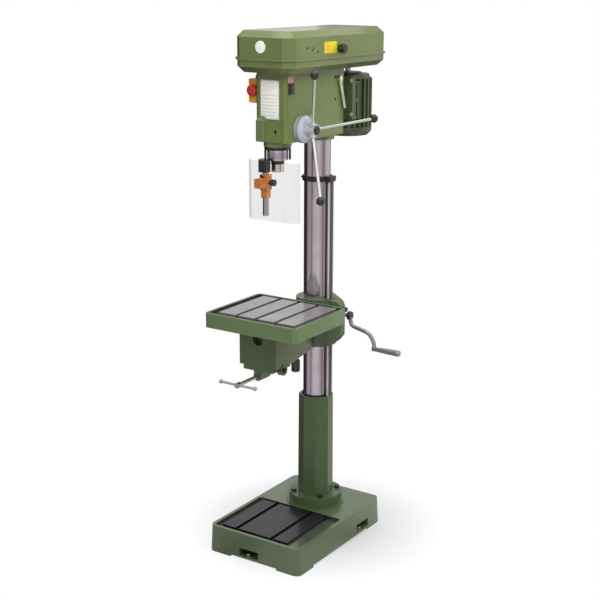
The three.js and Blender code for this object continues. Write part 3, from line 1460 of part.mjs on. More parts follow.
// The carrier on the column, its gear, crank and grip.
function buildCarrier(machine) {
  const carrier = nest(machine, 0, 0, carrierBottom);
  put(carrier, 'table_carrier', carrierBody(), 'casting');
  const outline = gearOutline(gearTeeth, rackToothSize, gearSlackShare * rackToothSize).map(([u, v]) => [-u, v]);
  const gear = slab(outline, 'y', -gearHalf, gearHalf);
  const pin = rod('y', gearPin, -gearPinHalf, gearPinHalf, [0, 0, 0], fewSides);
  put(nest(carrier, gearX, 0, gearZ - carrierBottom), 'lift_gear', gear.add(pin), 'steel');
  const crank = nest(carrier, 0, 0, crankHeight);
  put(crank, 'crank_shaft', crankShaftBody(), 'steel');
  put(crank, 'crank_arm', crankArmBody(), 'steel');
  const start = crankShaftReach + crankOffset + crankArmRadius + gap;
  const end = start + gripLength;
  const gripAt = [0, 0, -crankThrow];
  let grip = rod('x', gripRadius, start, end, gripAt, fewSides, gripEndRadius);
  grip = grip.subtract(rod('x', crankPin + gap, start - overrun, end - 2 * gap, gripAt, fewSides));
  put(crank, 'crank_grip', grip, 'steel');
  buildTilt(nest(carrier, 0, 0, tableTop - pivotDrop - carrierBottom));
}

const machine = new THREE.Group();
buildStand(machine);
buildRack(machine);
buildCarrier(machine);
buildHead(machine);

export default machine;
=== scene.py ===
"""Floor-standing pillar drill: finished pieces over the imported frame."""

import json
import math

import bmesh
import bpy
from mathutils import Euler, Matrix, Vector


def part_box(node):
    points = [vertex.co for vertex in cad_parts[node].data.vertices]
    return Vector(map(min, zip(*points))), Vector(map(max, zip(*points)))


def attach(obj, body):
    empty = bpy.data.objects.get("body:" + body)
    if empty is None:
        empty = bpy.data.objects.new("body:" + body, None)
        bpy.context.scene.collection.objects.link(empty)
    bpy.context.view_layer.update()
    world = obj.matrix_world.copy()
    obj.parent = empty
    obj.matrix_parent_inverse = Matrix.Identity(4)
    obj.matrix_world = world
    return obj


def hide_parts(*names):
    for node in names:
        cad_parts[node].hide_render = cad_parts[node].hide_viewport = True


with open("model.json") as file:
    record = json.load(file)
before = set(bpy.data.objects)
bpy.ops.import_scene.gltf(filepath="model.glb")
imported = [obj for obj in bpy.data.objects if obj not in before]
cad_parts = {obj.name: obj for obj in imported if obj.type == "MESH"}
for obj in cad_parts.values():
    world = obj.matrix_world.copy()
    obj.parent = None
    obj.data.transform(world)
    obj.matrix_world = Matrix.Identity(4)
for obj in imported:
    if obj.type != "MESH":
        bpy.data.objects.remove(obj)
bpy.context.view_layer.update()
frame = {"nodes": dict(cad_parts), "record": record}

bl_info = {
    "name": "Pillar drill",
    "version": (1, 0, 0),
    "blender": (4, 5, 0),
    "location": "3D View > Sidebar > Drill",
    "description": "Dresses the frame of a floor-standing pillar drill",
    "category": "Object",
}


# Shader formulas

def operator(operation, reflected=False):
    """A method of Value that adds one Math node."""
    def method(self, *others):
        values = (*others, self) if reflected else (self, *others)
        return self.nodes.add("ShaderNodeMath", {"operation": operation}, *values)
    return method


class Value:
    """One socket of a node tree that can stand in a formula."""

    __add__, __radd__ = operator("ADD"), operator("ADD", True)
    __sub__, __rsub__ = operator("SUBTRACT"), operator("SUBTRACT", True)
    __mul__, __rmul__ = operator("MULTIPLY"), operator("MULTIPLY", True)
    __truediv__, __rtruediv__ = operator("DIVIDE"), operator("DIVIDE", True)
    __pow__, __rpow__ = operator("POWER"), operator("POWER", True)
    __gt__, __lt__ = operator("GREATER_THAN"), operator("LESS_THAN")
    __abs__, fraction, turn_from = operator("ABSOLUTE"), operator("FRACT"), operator("ARCTAN2")

    def __init__(self, nodes, socket):
        self.nodes = nodes
        self.socket = socket

    def output(self, key):
        """Another output of the node that this value comes from."""
        return Value(self.nodes, self.socket.node.outputs[key])

    def ramp(self, low, high):
        """0 below low, 1 above high, straight between."""
        return self.nodes.add("ShaderNodeMapRange", {}, self, low, high)


class Nodes:
    """A node tree with one way to add a node."""

    def __init__(self, tree):
        self.tree = tree
        tree.nodes.clear()

    def add(self, kind, settings, *values, output=0, **named):
        """Adds a node: its settings or a ramp's stops first, then its sockets by place or by name."""
        node = self.tree.nodes.new(kind)
        for name, setting in settings.items():
            if name == "stops":
                self.stops(node.color_ramp, setting)
            else:
                setattr(node, name, setting)
        for place, value in [*enumerate(values), *named.items()]:
            key = place if isinstance(place, int) else place.replace("_", " ")
            self.join(node.inputs[key], value)
        return Value(self, node.outputs[output]) if node.outputs else None

    def stops(self, ramp, stops):
        """Gives a colour ramp its stops, from pairs of place and colour."""
        while len(ramp.elements) < len(stops):
            ramp.elements.new(0.5)
        for element, (position, colour) in zip(ramp.elements, stops):
            element.position = position
            element.color = (*colour, 1.0)

    def join(self, socket, value):
        if isinstance(value, Value):
            self.tree.links.new(value.socket, socket)
        elif value is not None:
            socket.default_value = value

    def joined(self, *parts):
        """Several geometries as one."""
        whole = self.add("GeometryNodeJoinGeometry", {})
        for part in parts:
            self.join(whole.socket.node.inputs[0], part)
        return whole

    def place(self):
        """The point of the surface in the frame's metres."""
        return self.add("ShaderNodeTexCoord", {}, output="Object")

    def axes(self, vector):
        """The three parts of a vector."""
        split = self.add("ShaderNodeSeparateXYZ", {}, vector)
        return [split.output(i) for i in range(3)]

    def scaled(self, vector, scale):
        return self.add("ShaderNodeVectorMath", {"operation": "MULTIPLY"}, vector, scale)

    def noise(self, vector, scale, detail=2.0, roughness=0.5):
        return self.add(
            "ShaderNodeTexNoise", {}, Vector=vector, Scale=scale, Detail=detail, Roughness=roughness)

    def blend(self, factor, a, b):
        """A colour between two, by a factor: the node's colours are its seventh and eighth sockets."""
        return self.add("ShaderNodeMix", {"data_type": "RGBA"}, factor, *[None] * 5, a, b, output=2)

    def limited(self, value):
        """The value kept between 0 and 1."""
        return self.add("ShaderNodeClamp", {}, value)

    def bump(self, height, distance):
        return self.add("ShaderNodeBump", {}, Height=height, Distance=distance, Strength=1.0)

    def principled(self, **sockets):
        return self.add("ShaderNodeBsdfPrincipled", {}, **sockets)


def rgb(red, green, blue):
    """A colour written as a screen shows it, 0 to 255, as linear light."""
    def linear(value):
        share = value / 255
        return share / 12.92 if share <= 0.04045 else ((share + 0.055) / 1.055) ** 2.4
    return (linear(red), linear(green), linear(blue), 1.0)


def shade(colour, share):
    """The same colour, darker or lighter."""
    return tuple(min(1.0, part * share) for part in colour[:3]) + (1.0,)


# Finishes

# Dark colour of the painted shade in the troughs round the machined panels, and of the ink on the bare plate
TROUGH_SHADE_AND_INK = rgb(38, 40, 34)
RACK_LIT_FROM = 0.0525         # the painted highlight on the rack's sides lies outside this x
RACK_SIDE = 0.0117          # and outside this y on either side
PLATE_LOW = (-0.038, 1.490)     # x and z of the instruction plate's corners
PLATE_HIGH = (0.033, 1.613)
RULE_STEP = 0.0105          # between two rules on the plate
RULE_SHARE = 0.22           # of the step that a rule takes


def finish_maker(build):
    """Lets a function of nodes, a colour and numbers give a material by its name, built once."""
    def maker(name, *numbers):
        name += "_finish"       # the frame has plain materials under the slots' names
        made = bpy.data.materials.get(name)
        if not made:
            made = bpy.data.materials.new(name)
            made.use_nodes = True
            nodes = Nodes(made.node_tree)
            nodes.add("ShaderNodeOutputMaterial", {}, build(nodes, *numbers))
        return made
    return maker


def paint_film(nodes, place, colour, roughness):
    """Base colour with faint clouds, and roughness in small patches."""
    cloud = nodes.noise(place, 7.0, 3.0).ramp(0.3, 0.7)
    patch = nodes.noise(place, 60.0, 4.0).ramp(0.2, 0.8)
    return nodes.blend(cloud, shade(colour, 0.93), shade(colour, 1.07)), patch * 0.16 + (roughness - 0.08)


@finish_maker
def painted(nodes, colour, grain, depth, roughness, gloss):
    """Paint over metal: faint clouds of tone, a fine skin and small scuffs."""
    place = nodes.place()
    tone, rough = paint_film(nodes, place, colour, roughness)
    speck = nodes.noise(place, 420.0).ramp(0.62, 0.74)
    tone = nodes.blend(speck * 0.35, tone, shade(colour, 0.6))
    return nodes.principled(
        Base_Color=tone, Roughness=rough, Coat_Weight=gloss, Coat_Roughness=0.15,
        Normal=nodes.bump(nodes.noise(place, grain), depth))


def ground(nodes, place, colour, along, roughness):
    """Base colour, roughness and normal of ground steel with marks that run along a direction."""
    stretch = tuple(4.0 if part else 900.0 for part in along)
    marks = nodes.noise(nodes.scaled(place, stretch), 1.0, 3.0, 0.7)
    stain = nodes.noise(place, 14.0, 4.0).ramp(0.35, 0.75)
    tone = nodes.blend(marks.ramp(0.3, 0.7), shade(colour, 0.85), shade(colour, 1.12))
    tone = nodes.blend(stain * 0.4, tone, shade(colour, 0.6))
    rough = marks * 0.14 + (roughness - 0.07) + stain * 0.08
    return tone, rough, nodes.bump(marks, 0.00004)


@finish_maker
def steel(nodes, colour, roughness, along=(0, 0, 0), metallic=1.0):
    """Bare metal with fine machining marks."""
    tone, rough, normal = ground(nodes, nodes.place(), colour, along, roughness)
    return nodes.principled(Base_Color=tone, Metallic=metallic, Roughness=rough, Normal=normal)


@finish_maker
def moulded(nodes, colour, roughness, coat=0.0):
    """Moulded plastic, bakelite or rubber with a fine skin."""
    place = nodes.place()
    cloud = nodes.noise(place, 40.0, 3.0).ramp(0.3, 0.7)
    return nodes.principled(
        Base_Color=nodes.blend(cloud, shade(colour, 0.9), shade(colour, 1.1)),
        Roughness=cloud * 0.1 + (roughness - 0.05), Coat_Weight=coat,
        Normal=nodes.bump(nodes.noise(place, 900.0), 0.00003))


def inside(nodes, place, low, high):
    """1 inside a box given by two corners, 0 outside."""
    mask = None
    for part, (a, b) in zip(nodes.axes(place), zip(low, high)):
        both = (part > a) * (part < b)
        mask = both if mask is None else mask * both
    return mask


@finish_maker
def slotted(nodes, paint, top, panel, trough, trough_darkness, polish, gloss):
    """Painted casting with a machined panel, and painted shade darkening the trough round it."""
    place = nodes.place()
    tone, rough = paint_film(nodes, place, paint, 0.48)
    metal, metal_rough, _ = ground(nodes, place, chosen(top), ALONG_Y, polish)
    on_panel = inside(nodes, place, *panel)
    in_trough = inside(nodes, place, *trough) * (1.0 - on_panel)
    # painted shade in the trough, in blotches, as dark as asked
    trough_shade = nodes.noise(place, 30.0, 3.0).ramp(0.25, 0.6) * 0.25 + (trough_darkness - 0.2)
    tone = nodes.blend(in_trough * trough_shade, tone, TROUGH_SHADE_AND_INK)
    return nodes.principled(
        Base_Color=nodes.blend(on_panel, tone, metal), Metallic=on_panel * 0.7,
        Roughness=rough * (1.0 - on_panel) + metal_rough * on_panel,
        Coat_Weight=on_panel * (0.4 - gloss) + gloss, Coat_Roughness=0.18,
        Normal=nodes.bump(nodes.noise(place, 260.0), 0.00005))


@finish_maker
def toothed(nodes, colour):
    """Rack steel: painted highlight on each flank's outer strip, painted shade on the teeth and by the
    column.
    """
    place = nodes.place()
    tone, rough, normal = ground(nodes, place, colour, UPRIGHT, 0.34)
    x, y, _ = nodes.axes(place)
    lit_flank = x.ramp(RACK_LIT_FROM - 0.0012, RACK_LIT_FROM + 0.0008) * (abs(y) > RACK_SIDE)
    # painted shade, with the column's painted reflection, on the teeth and the inner part of each flank; the
    # outer strips keep the pale steel as a painted highlight
    tone = nodes.blend(lit_flank, shade(colour, 0.12), tone)
    return nodes.principled(Base_Color=tone, Metallic=0.35, Roughness=rough, Normal=normal)


def plate_area(side, below, above):
    """Corners of a part of the instruction plate, set in from its edges. It holds for any y."""
    return (
        (PLATE_LOW[0] + side, -1.0, PLATE_LOW[1] + below),
        (PLATE_HIGH[0] - side, 1.0, PLATE_HIGH[1] - above))


@finish_maker
def ruled(nodes, colour):
    """A bare printed plate: a frame line and faint rules across, with nothing written."""
    place = nodes.place()
    border = 1.0 - inside(nodes, place, *plate_area(0.003, 0.003, 0.003))
    body = inside(nodes, place, *plate_area(0.006, 0.012, 0.038))
    z = nodes.axes(place)[2]
    rules = ((z / RULE_STEP).fraction() < RULE_SHARE) * body * 0.30
    cloud = nodes.noise(place, 40.0, 3.0).ramp(0.3, 0.7)
    tone = nodes.blend(cloud, shade(colour, 0.94), colour)
    return nodes.principled(
        Base_Color=nodes.blend(nodes.limited(rules + border * 0.25), tone, TROUGH_SHADE_AND_INK),
        Roughness=cloud * 0.1 + 0.4, Normal=nodes.bump(cloud, 0.00003))


@finish_maker
def clear_sheet(nodes, colour, alpha):
    """Clear plastic that has gone slightly cloudy, with fine wipe marks."""
    place = nodes.place()
    wipe = nodes.noise(nodes.scaled(place, (40.0, 40.0, 8.0)), 1.0, 4.0, 0.6).ramp(0.35, 0.75)
    edge = nodes.add("ShaderNodeLayerWeight", {}, Blend=0.25, output=1)
    return nodes.principled(
        Base_Color=nodes.blend(wipe, colour, shade(colour, 0.92)), Roughness=wipe * 0.1 + 0.06,
        Alpha=nodes.limited(wipe * 0.03 + alpha + edge ** 2.0 * 0.4))


# Regions of the machined faces, as two corners
BASE_PANEL = ((-0.156, -0.352, 0.0812), (0.116, -0.0995, 0.0935))
BASE_TROUGH = ((-0.1725, -0.3735, 0.0815), (0.1725, -0.0985, 0.0936))
TABLE_PANEL = ((-0.1505, -0.3625, 0.8465), (0.1505, -0.1055, 0.8568))
TABLE_TROUGH = ((-0.1740, -0.3960, 0.8470), (0.1740, -0.0980, 0.8590))

# Which way machining marks run
UPRIGHT, ALONG_Y, NO_WAY = (0, 0, 1), (0, 1, 0), (0, 0, 0)

# Each finish: its maker, the chosen colour, how much lighter or darker, and the maker's own numbers
FINISHES = {
    "casting_paint": (painted, "casting", 1.0, 240.0, 0.00012, 0.40, 0.35),
    "head_paint": (painted, "head", 1.0, 300.0, 0.00010, 0.38, 0.5),
    "sheet_paint": (painted, "cover", 1.0, 420.0, 0.00006, 0.38, 0.7),
    "motor_paint": (painted, "motor", 1.0, 240.0, 0.00010, 0.40, 0.35),
    # for base and table: panel, trough, how dark the trough's painted shade is, the panel's polish and the
    # paint's gloss
    "base_paint": (slotted, "casting", 1.06, "base_top", BASE_PANEL, BASE_TROUGH, 0.75, 0.42, 0.9),
    # the table's paint is the castings' paint made 1.76 times lighter: a painted lit copy of the same paint
    "table_paint": (slotted, "casting", 1.76, "table_top", TABLE_PANEL, TABLE_TROUGH, 0.95, 0.32, 0.45),
    "bright_steel": (steel, "steel", 1.0, 0.24, UPRIGHT),
    "worn_steel": (steel, "steel", 0.45, 0.42),
    "column_steel": (steel, "steel", 1.05, 0.15, UPRIGHT),
    "chrome": (steel, "chrome", 1.0, 0.14),
    "dull_steel": (steel, "steel", 0.8, 0.34),
    "pulley_alloy": (steel, "steel", 0.85, 0.34),
    "drum_alloy": (steel, "drum", 1.0, 0.36, NO_WAY, 0.15),
    # the rack's steel made 1.9 times paler for its painted highlight
    "rack_steel": (toothed, "steel", 1.9),
    "polished_steel": (steel, "steel", 1.15, 0.12, UPRIGHT),
    "black_steel": (moulded, "black", 1.0, 0.38, 0.2),
    "black_plastic": (moulded, "black", 0.8, 0.26, 0.5),
    "belt_rubber": (moulded, "black", 1.3, 0.75),
    "red_plastic": (moulded, "stop", 1.0, 0.32, 0.3),
    "yellow_plastic": (moulded, "stop_box", 1.0, 0.42),
    "orange_alloy": (moulded, "slider", 1.0, 0.36, 0.3),
    "label_plate": (moulded, "label", 1.15, 0.45),
    "ruled_plate": (ruled, "label", 1.15),
    "rose_plate": (moulded, "switch_label", 1.0, 0.45),
    "yellow_plate": (moulded, "cover_plate", 1.0, 0.42),
    "clear_plastic": (clear_sheet, "shield", 1.0, 0.085),
}


def chosen(colour):
    return tuple(getattr(bpy.context.scene.drill_colours, colour))


def finish(look):
    """The material of a finish, in the chosen colours."""
    maker, colour, share, *numbers = FINISHES[look]
    return maker(look, shade(chosen(colour), share), *numbers)


# Shapes

BODIES = {n: body for body, nodes in frame["record"]["behaviour"]["bodies"].items() for n in nodes}
SLOTS = {part["node"]: part["material_slot"] for part in frame["record"]["subparts"]}


def new_piece(name, mesh, made):
    """Puts a mesh in the scene as a piece of one material."""
    mesh.name = name
    piece = bpy.data.objects.new(name, mesh)
    bpy.context.scene.collection.objects.link(piece)
    mesh.materials.clear()
    mesh.materials.append(made)
    return piece


def settle(piece, node, stands=False, slot=None):
    """Rides on a node's body. It may stand for the node. The slot named is not used."""
    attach(piece, BODIES[node])
    slot or SLOTS[node]
    if stands:
        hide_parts(node)


def dress(name, node, look, mesh, stands=False, slot=None):
    """Makes a mesh a finished piece of a node's body."""
    settle(new_piece(name, mesh, finish(look)), node, stands, slot)


def to_mesh(bm, angle=35.0):
    """A mesh from bmesh: smooth, but sharp where faces meet at more than the angle."""
    limit = math.radians(angle)
    for face in bm.faces:
        face.smooth = True
    for edge in bm.edges:
        edge.smooth = len(edge.link_faces) == 2 and edge.calc_face_angle(0.0) < limit
    mesh = bpy.data.meshes.new("piece")
    bm.to_mesh(mesh)
    bm.free()
    return mesh


def finished(node, look, edge):
    """A merged copy of a CAD node with its sharp edges rounded, which stands for it."""
    bm = bmesh.new()
    bm.from_mesh(frame["nodes"][node].data)
    bmesh.ops.remove_doubles(bm, verts=bm.verts, dist=1e-6)
    bmesh.ops.dissolve_limit(bm, angle_limit=math.radians(0.6), verts=bm.verts, edges=bm.edges)
    piece = new_piece(node + "_finished", to_mesh(bm), finish(look))
    if edge:
        bevel = piece.modifiers.new("Edges", "BEVEL")
        bevel.limit_method = "ANGLE"
        bevel.angle_limit = math.radians(38.0)
        bevel.width = edge
        bevel.segments = 2
        bevel.harden_normals = True
        bevel.use_clamp_overlap = True
    settle(piece, node, stands=True)


def finish_all(*rows):
    """Finished copies of nodes: rows of edge width, finish and nodes."""
    for edge, look, *nodes in rows:
        for node in nodes:
            finished(node, look, edge)


def middle(node):
    low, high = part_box(node)
    return (Vector(low) + Vector(high)) / 2


AXES = {
    "x": Matrix(((0, 0, 1), (1, 0, 0), (0, 1, 0))),
    "y": Matrix(((0, 1, 0), (0, 0, 1), (1, 0, 0))),
    "z": Matrix.Identity(3),
}


def skinned(bm, rings, sides):
    """The bmesh with faces from each ring to the next. A ring may be a single point."""
    for lower, upper in zip(rings, rings[1:]):
        for i in range(sides):
            j = (i + 1) % sides
            corners = tuple(dict.fromkeys((
                lower[i % len(lower)], lower[j % len(lower)], upper[j % len(upper)], upper[i % len(upper)])))
            if len(corners) > 2:
                bm.faces.new(corners)
    bmesh.ops.recalc_face_normals(bm, faces=bm.faces)
    return bm


def lathe(profile, axis, centre, sides, closed=True):
    """A bmesh turned from radius and height pairs about an axis."""
    bm = bmesh.new()
    turn = AXES[axis]
    rings = []
    for radius, height in profile:
        if radius <= 0:
            rings.append([bm.verts.new(turn @ Vector((0, 0, height)) + Vector(centre))])
            continue
        ring = []
        for i in range(sides):
            angle = 2 * math.pi * i / sides
            point = Vector((radius * math.cos(angle), radius * math.sin(angle), height))
            ring.append(bm.verts.new(turn @ point + Vector(centre)))
        rings.append(ring)
    if closed and len(rings[0]) > 1:
        rings.append(rings[0])
    return skinned(bm, rings, sides)


def rounded_profile(points, radius, steps=3):
    """The same outline with each corner rounded."""
    made = []
    count = len(points)
    for i, point in enumerate(points):
        here = Vector(point)
        before, after = Vector(points[i - 1]) - here, Vector(points[(i + 1) % count]) - here
        if point[0] <= 0:
            made.append(tuple(here))
            continue
        room = min(radius, before.length * 0.45, after.length * 0.45)
        start, end = here + before.normalized() * room, here + after.normalized() * room
        for step in range(steps + 1):
            t = step / steps
            bent = start * (1 - t) ** 2 + here * 2 * t * (1 - t) + end * t ** 2
            made.append((bent.x, bent.y))
    return made


def turned(name, node, look, profile, axis, centre, edge, sides=64, stands=False, slot=None):
    """A piece turned from a profile with softened corners."""
    bm = lathe(rounded_profile(profile, edge), axis, centre, sides)
    dress(name, node, look, to_mesh(bm), stands, slot)


def ball(centre, radius, sides=40, rows=20):
    """A bmesh of a ball, turned from half a circle."""
    turns = [math.pi * i / rows for i in range(1, rows)]
    profile = [(0.0, -radius), *[(radius * math.sin(t), -radius * math.cos(t)) for t in turns], (0.0, radius)]
    return lathe(profile, "z", centre, sides, closed=False)


def swept(path, radius, sides=20):
    """A round bar of one thickness along points, closed at both ends."""
    bm = bmesh.new()
    points = [Vector(point) for point in path]
    rings = []
    across = Vector((0, 1, 0))
    for i, point in enumerate(points):
        along = (points[min(i + 1, len(points) - 1)] - points[max(i - 1, 0)]).normalized()
        out = across.cross(along).normalized()
        rings.append([
            bm.verts.new(point + radius * (math.cos(t) * across + math.sin(t) * out))
            for t in (2 * math.pi * k / sides for k in range(sides))])
    for cap in (rings[0], rings[-1]):
        bm.faces.new(cap)
    return skinned(bm, rings, sides)


def smooth_path(points, steps=8):
    """A smooth line through points."""
    points = [Vector(point) for point in points]
    ends = [2 * points[0] - points[1], *points, 2 * points[-1] - points[-2]]
    made = []
    for a, b, c, d in zip(ends, ends[1:], ends[2:], ends[3:]):
        for step in range(steps):
            t = step / steps
            made.append(0.5 * (
                2 * b + (c - a) * t + (2 * a - 5 * b + 4 * c - d) * t ** 2
                + (3 * b - a - 3 * c + d) * t ** 3))
    return [*made, points[-1]]


def box_mesh(low, high, edge):
    """A block between two corners with softened edges."""
    bm = bmesh.new()
    bmesh.ops.create_cube(bm, size=1.0)
    for vertex in bm.verts:
        vertex.co = Vector([(a + b) / 2 + part * (b - a) for a, b, part in zip(low, high, vertex.co)])
    bmesh.ops.bevel(bm, geom=bm.edges[:], offset=edge, segments=2, affect="EDGES", profile=0.5)
    return to_mesh(bm)


def bare_plate(name, node, look, low, high):
    """A thin plate or label between two corners."""
    dress(name, node, look, box_mesh(low, high, 0.0006), slot="drum_alloy")


# Repeats, made with Geometry Nodes

def node_group(name, inputs, build):
    """A geometry tree with named inputs, made once. It realises its copies and gives them their finish."""
    tree = bpy.data.node_groups.get(name)
    if tree:
        return tree
    tree = bpy.data.node_groups.new(name, "GeometryNodeTree")
    inputs = {"Geometry": "Geometry", **inputs, "Finish": "Material"}
    for label, kind in inputs.items():
        tree.interface.new_socket(label, in_out="INPUT", socket_type="NodeSocket" + kind)
    tree.interface.new_socket("Geometry", in_out="OUTPUT", socket_type="NodeSocketGeometry")
    nodes = Nodes(tree)
    start = nodes.add("NodeGroupInput", {})
    value = {label: start.output(label) for label in inputs}
    real = nodes.add("GeometryNodeRealizeInstances", {}, build(nodes, value))
    done = nodes.add("GeometryNodeSetMaterial", {}, Geometry=real, Material=value["Finish"])
    nodes.add("NodeGroupOutput", {}, done)
    return tree


def grown(mesh, group, look, settings):
    """The plain mesh that a geometry tree makes from a mesh."""
    seed = bpy.data.objects.new("seed", mesh)
    bpy.context.scene.collection.objects.link(seed)
    modifier = seed.modifiers.new("Repeat", "NODES")
    modifier.node_group = tree = node_group(*group)
    keys = {item.name: item.identifier for item in tree.interface.items_tree if item.in_out == "INPUT"}
    for label, setting in {**settings, "Finish": finish(look)}.items():
        modifier[keys[label]] = setting
    bpy.context.view_layer.update()
    evaluated = seed.evaluated_get(bpy.context.evaluated_depsgraph_get())
    result = bpy.data.meshes.new_from_object(evaluated)
    seed.modifiers.clear()
    bpy.data.objects.remove(seed)
    return result


def points_mesh(places):
    mesh = bpy.data.meshes.new("points")
    mesh.from_pydata([tuple(place) for place in places], [], [])
    return mesh


def screw_nodes(nodes, value):
    """A headed screw on every vertex: washer, head and chamfer, turned to one direction."""
    radius, height = value["Radius"], value["Height"]
    washer = nodes.add(
        "GeometryNodeMeshCylinder", {}, Vertices=28, Radius=radius * value["Washer"], Depth=height * 0.22)
    head = nodes.add(
        "GeometryNodeMeshCone", {}, Vertices=value["Sides"], Radius_Top=radius, Radius_Bottom=radius,
        Depth=height * 0.8)
    crown = nodes.add(
        "GeometryNodeMeshCone", {}, Vertices=value["Sides"], Radius_Top=radius * 0.78, Radius_Bottom=radius,
        Depth=height * 0.2)
    lifted = nodes.add("ShaderNodeCombineXYZ", {}, 0.0, 0.0, height * 0.8)
    crown = nodes.add("GeometryNodeTransform", {}, Geometry=crown, Translation=lifted)
    turn = nodes.add("FunctionNodeAlignRotationToVector", {"axis": "Z"}, Vector=value["Direction"])
    points = nodes.add("GeometryNodeMeshToPoints", {}, value["Geometry"])
    return nodes.add(
        "GeometryNodeInstanceOnPoints", {}, Points=points, Instance=nodes.joined(washer, head, crown),
        Rotation=turn)


def ring_nodes(nodes, value):
    """Bars in a ring about an axis, such as teeth, ticks, ribs or knurls."""
    circle = nodes.add("GeometryNodeMeshCircle", {}, Vertices=value["Count"], Radius=value["Radius"])
    points = nodes.add("GeometryNodeMeshToPoints", {}, circle)
    outward = nodes.add("GeometryNodeInputPosition", {})
    turn = nodes.add("FunctionNodeAlignRotationToVector", {"axis": "X"}, Vector=outward)
    bar = nodes.add("GeometryNodeMeshCube", {}, Size=value["Bar"])
    placed = nodes.add("GeometryNodeInstanceOnPoints", {}, Points=points, Instance=bar, Rotation=turn)
    return nodes.add(
        "GeometryNodeTransform", {}, Geometry=placed, Rotation=value["Turn"], Translation=value["Centre"])


def row_nodes(nodes, value):
    """Tapered teeth in a straight row on a bar: the mesh that it grows from is the bar."""
    block = nodes.add("GeometryNodeMeshCube", {}, Size=value["Size"])
    x, y, z = nodes.axes(nodes.add("GeometryNodeInputPosition", {}))
    narrow = nodes.add("ShaderNodeCombineXYZ", {}, x, y, z * (1.0 - (x > 0.0) * value["Taper"]))
    tooth = nodes.add("GeometryNodeSetPosition", {}, Geometry=block, Position=narrow)
    line = nodes.add(
        "GeometryNodeMeshLine", {}, Count=value["Count"], Start_Location=value["Start"], Offset=value["Step"])
    points = nodes.add("GeometryNodeMeshToPoints", {}, line)
    teeth = nodes.add("GeometryNodeInstanceOnPoints", {}, Points=points, Instance=tooth)
    return nodes.joined(value["Geometry"], teeth)


# Each tree: its name, its inputs with the kind of each, and what builds it
SCREWS = (
    "Screws",
    {"Radius": "Float", "Height": "Float", "Sides": "Int", "Washer": "Float", "Direction": "Vector"},
    screw_nodes)
RING = (
    "Ring of bars",
    {"Count": "Int", "Radius": "Float", "Bar": "Vector", "Turn": "Vector", "Centre": "Vector"},
    ring_nodes)
ROW = (
    "Row of teeth",
    {"Count": "Int", "Size": "Vector", "Taper": "Float", "Start": "Vector", "Step": "Vector"},
    row_nodes)

# How far a small piece sinks into what carries it
SEAT = 0.0002

# How a ring of bars turns from upright to an axis
TURNS = {"x": (0.0, math.pi / 2, 0.0), "y": (-math.pi / 2, 0.0, 0.0), "z": (0.0, 0.0, 0.0)}


def screws(name, node, look, places, direction, radius, height, sides=6, washer=1.3, slot=None):
    """Screw heads at places on a node, all facing one way."""
    mesh = grown(points_mesh(places), SCREWS, look, {
        "Radius": radius, "Height": height, "Sides": sides, "Washer": washer, "Direction": direction})
    dress(name, node, look, mesh, slot=slot)


def ring(name, node, look, count, radius, bar, axis, centre, slot=None):
    """Bars round an axis: each is so long outwards, across and along the axis."""
    mesh = grown(points_mesh([(0, 0, 0)]), RING, look, {
        "Count": count, "Radius": radius, "Bar": bar, "Turn": TURNS[axis], "Centre": centre})
    dress(name, node, look, mesh, slot=slot)


# Chosen sizes and colours

def colour_setting(name, description, red, green, blue):
    return bpy.props.FloatVectorProperty(
        name=name, description=description, subtype="COLOR", size=4, min=0.0, max=1.0,
        default=rgb(red, green, blue))


def number_setting(name, description, default, **more):
    return bpy.props.FloatProperty(name=name, description=description, default=default, **more)


def length_setting(name, description, default):
    return number_setting(name, description, default, min=0.0, unit="LENGTH", precision=4)


def angle_setting(name, description, degrees):
    return number_setting(name, description, math.radians(degrees), subtype="ANGLE")


class DrillColours(bpy.types.PropertyGroup):
    """Colours of the finishes."""
    casting: colour_setting("Castings", "Paint of the stand and table", 72, 91, 56)
    head: colour_setting("Head", "Paint of the head", 102, 118, 60)
    cover: colour_setting("Cover", "Paint of the belt cover", 100, 114, 57)
    motor: colour_setting("Motor", "Paint of the motor", 60, 70, 45)
    steel: colour_setting("Steel", "Bare ground steel", 196, 190, 196)
    chrome: colour_setting("Chrome", "Plating of the spindle and levers", 238, 240, 232)
    table_top: colour_setting("Table top", "Machined face of the table", 172, 168, 172)
    base_top: colour_setting("Base top", "Machined face of the base, oiled", 37, 35, 47)
    black: colour_setting("Black parts", "Black steel and plastic", 24, 24, 25)
    drum: colour_setting("Depth drum", "Cast alloy of the drum and spring cup", 197, 200, 211)
    stop: colour_setting("Stop button", "Red mushroom button", 190, 36, 10)
    stop_box: colour_setting("Stop box", "Yellow housing of the stop button", 232, 150, 30)
    slider: colour_setting("Guard slider", "Orange block of the chuck guard", 230, 138, 58)
    label: colour_setting("Labels", "Bare instruction plate and badge", 250, 244, 232)
    switch_label: colour_setting("Switch label", "Bare label on the head's side", 205, 160, 158)
    cover_plate: colour_setting("Cover plate", "Bare plate on the cover's side", 228, 205, 28)
    shield: colour_setting("Shield", "Clear plastic of the chuck guard", 62, 50, 46)


class DrillSizes(bpy.types.PropertyGroup):
    """Sizes of edges and small parts."""
    casting_edge: length_setting("Casting edge", "Rounding of cast edges", 0.0018)
    sheet_edge: length_setting("Sheet edge", "Rounding of pressed edges", 0.0012)
    machined_edge: length_setting("Machined edge", "Rounding of turned and milled edges", 0.0005)
    plate_thickness: length_setting("Plate thickness", "Thickness of labels and plates", 0.0010)
    tick_length: length_setting("Tick length", "Length of the marks on the depth drum", 0.0045)
    ticks: bpy.props.IntProperty(name="Ticks", description="Marks round the depth drum", default=72, min=8)


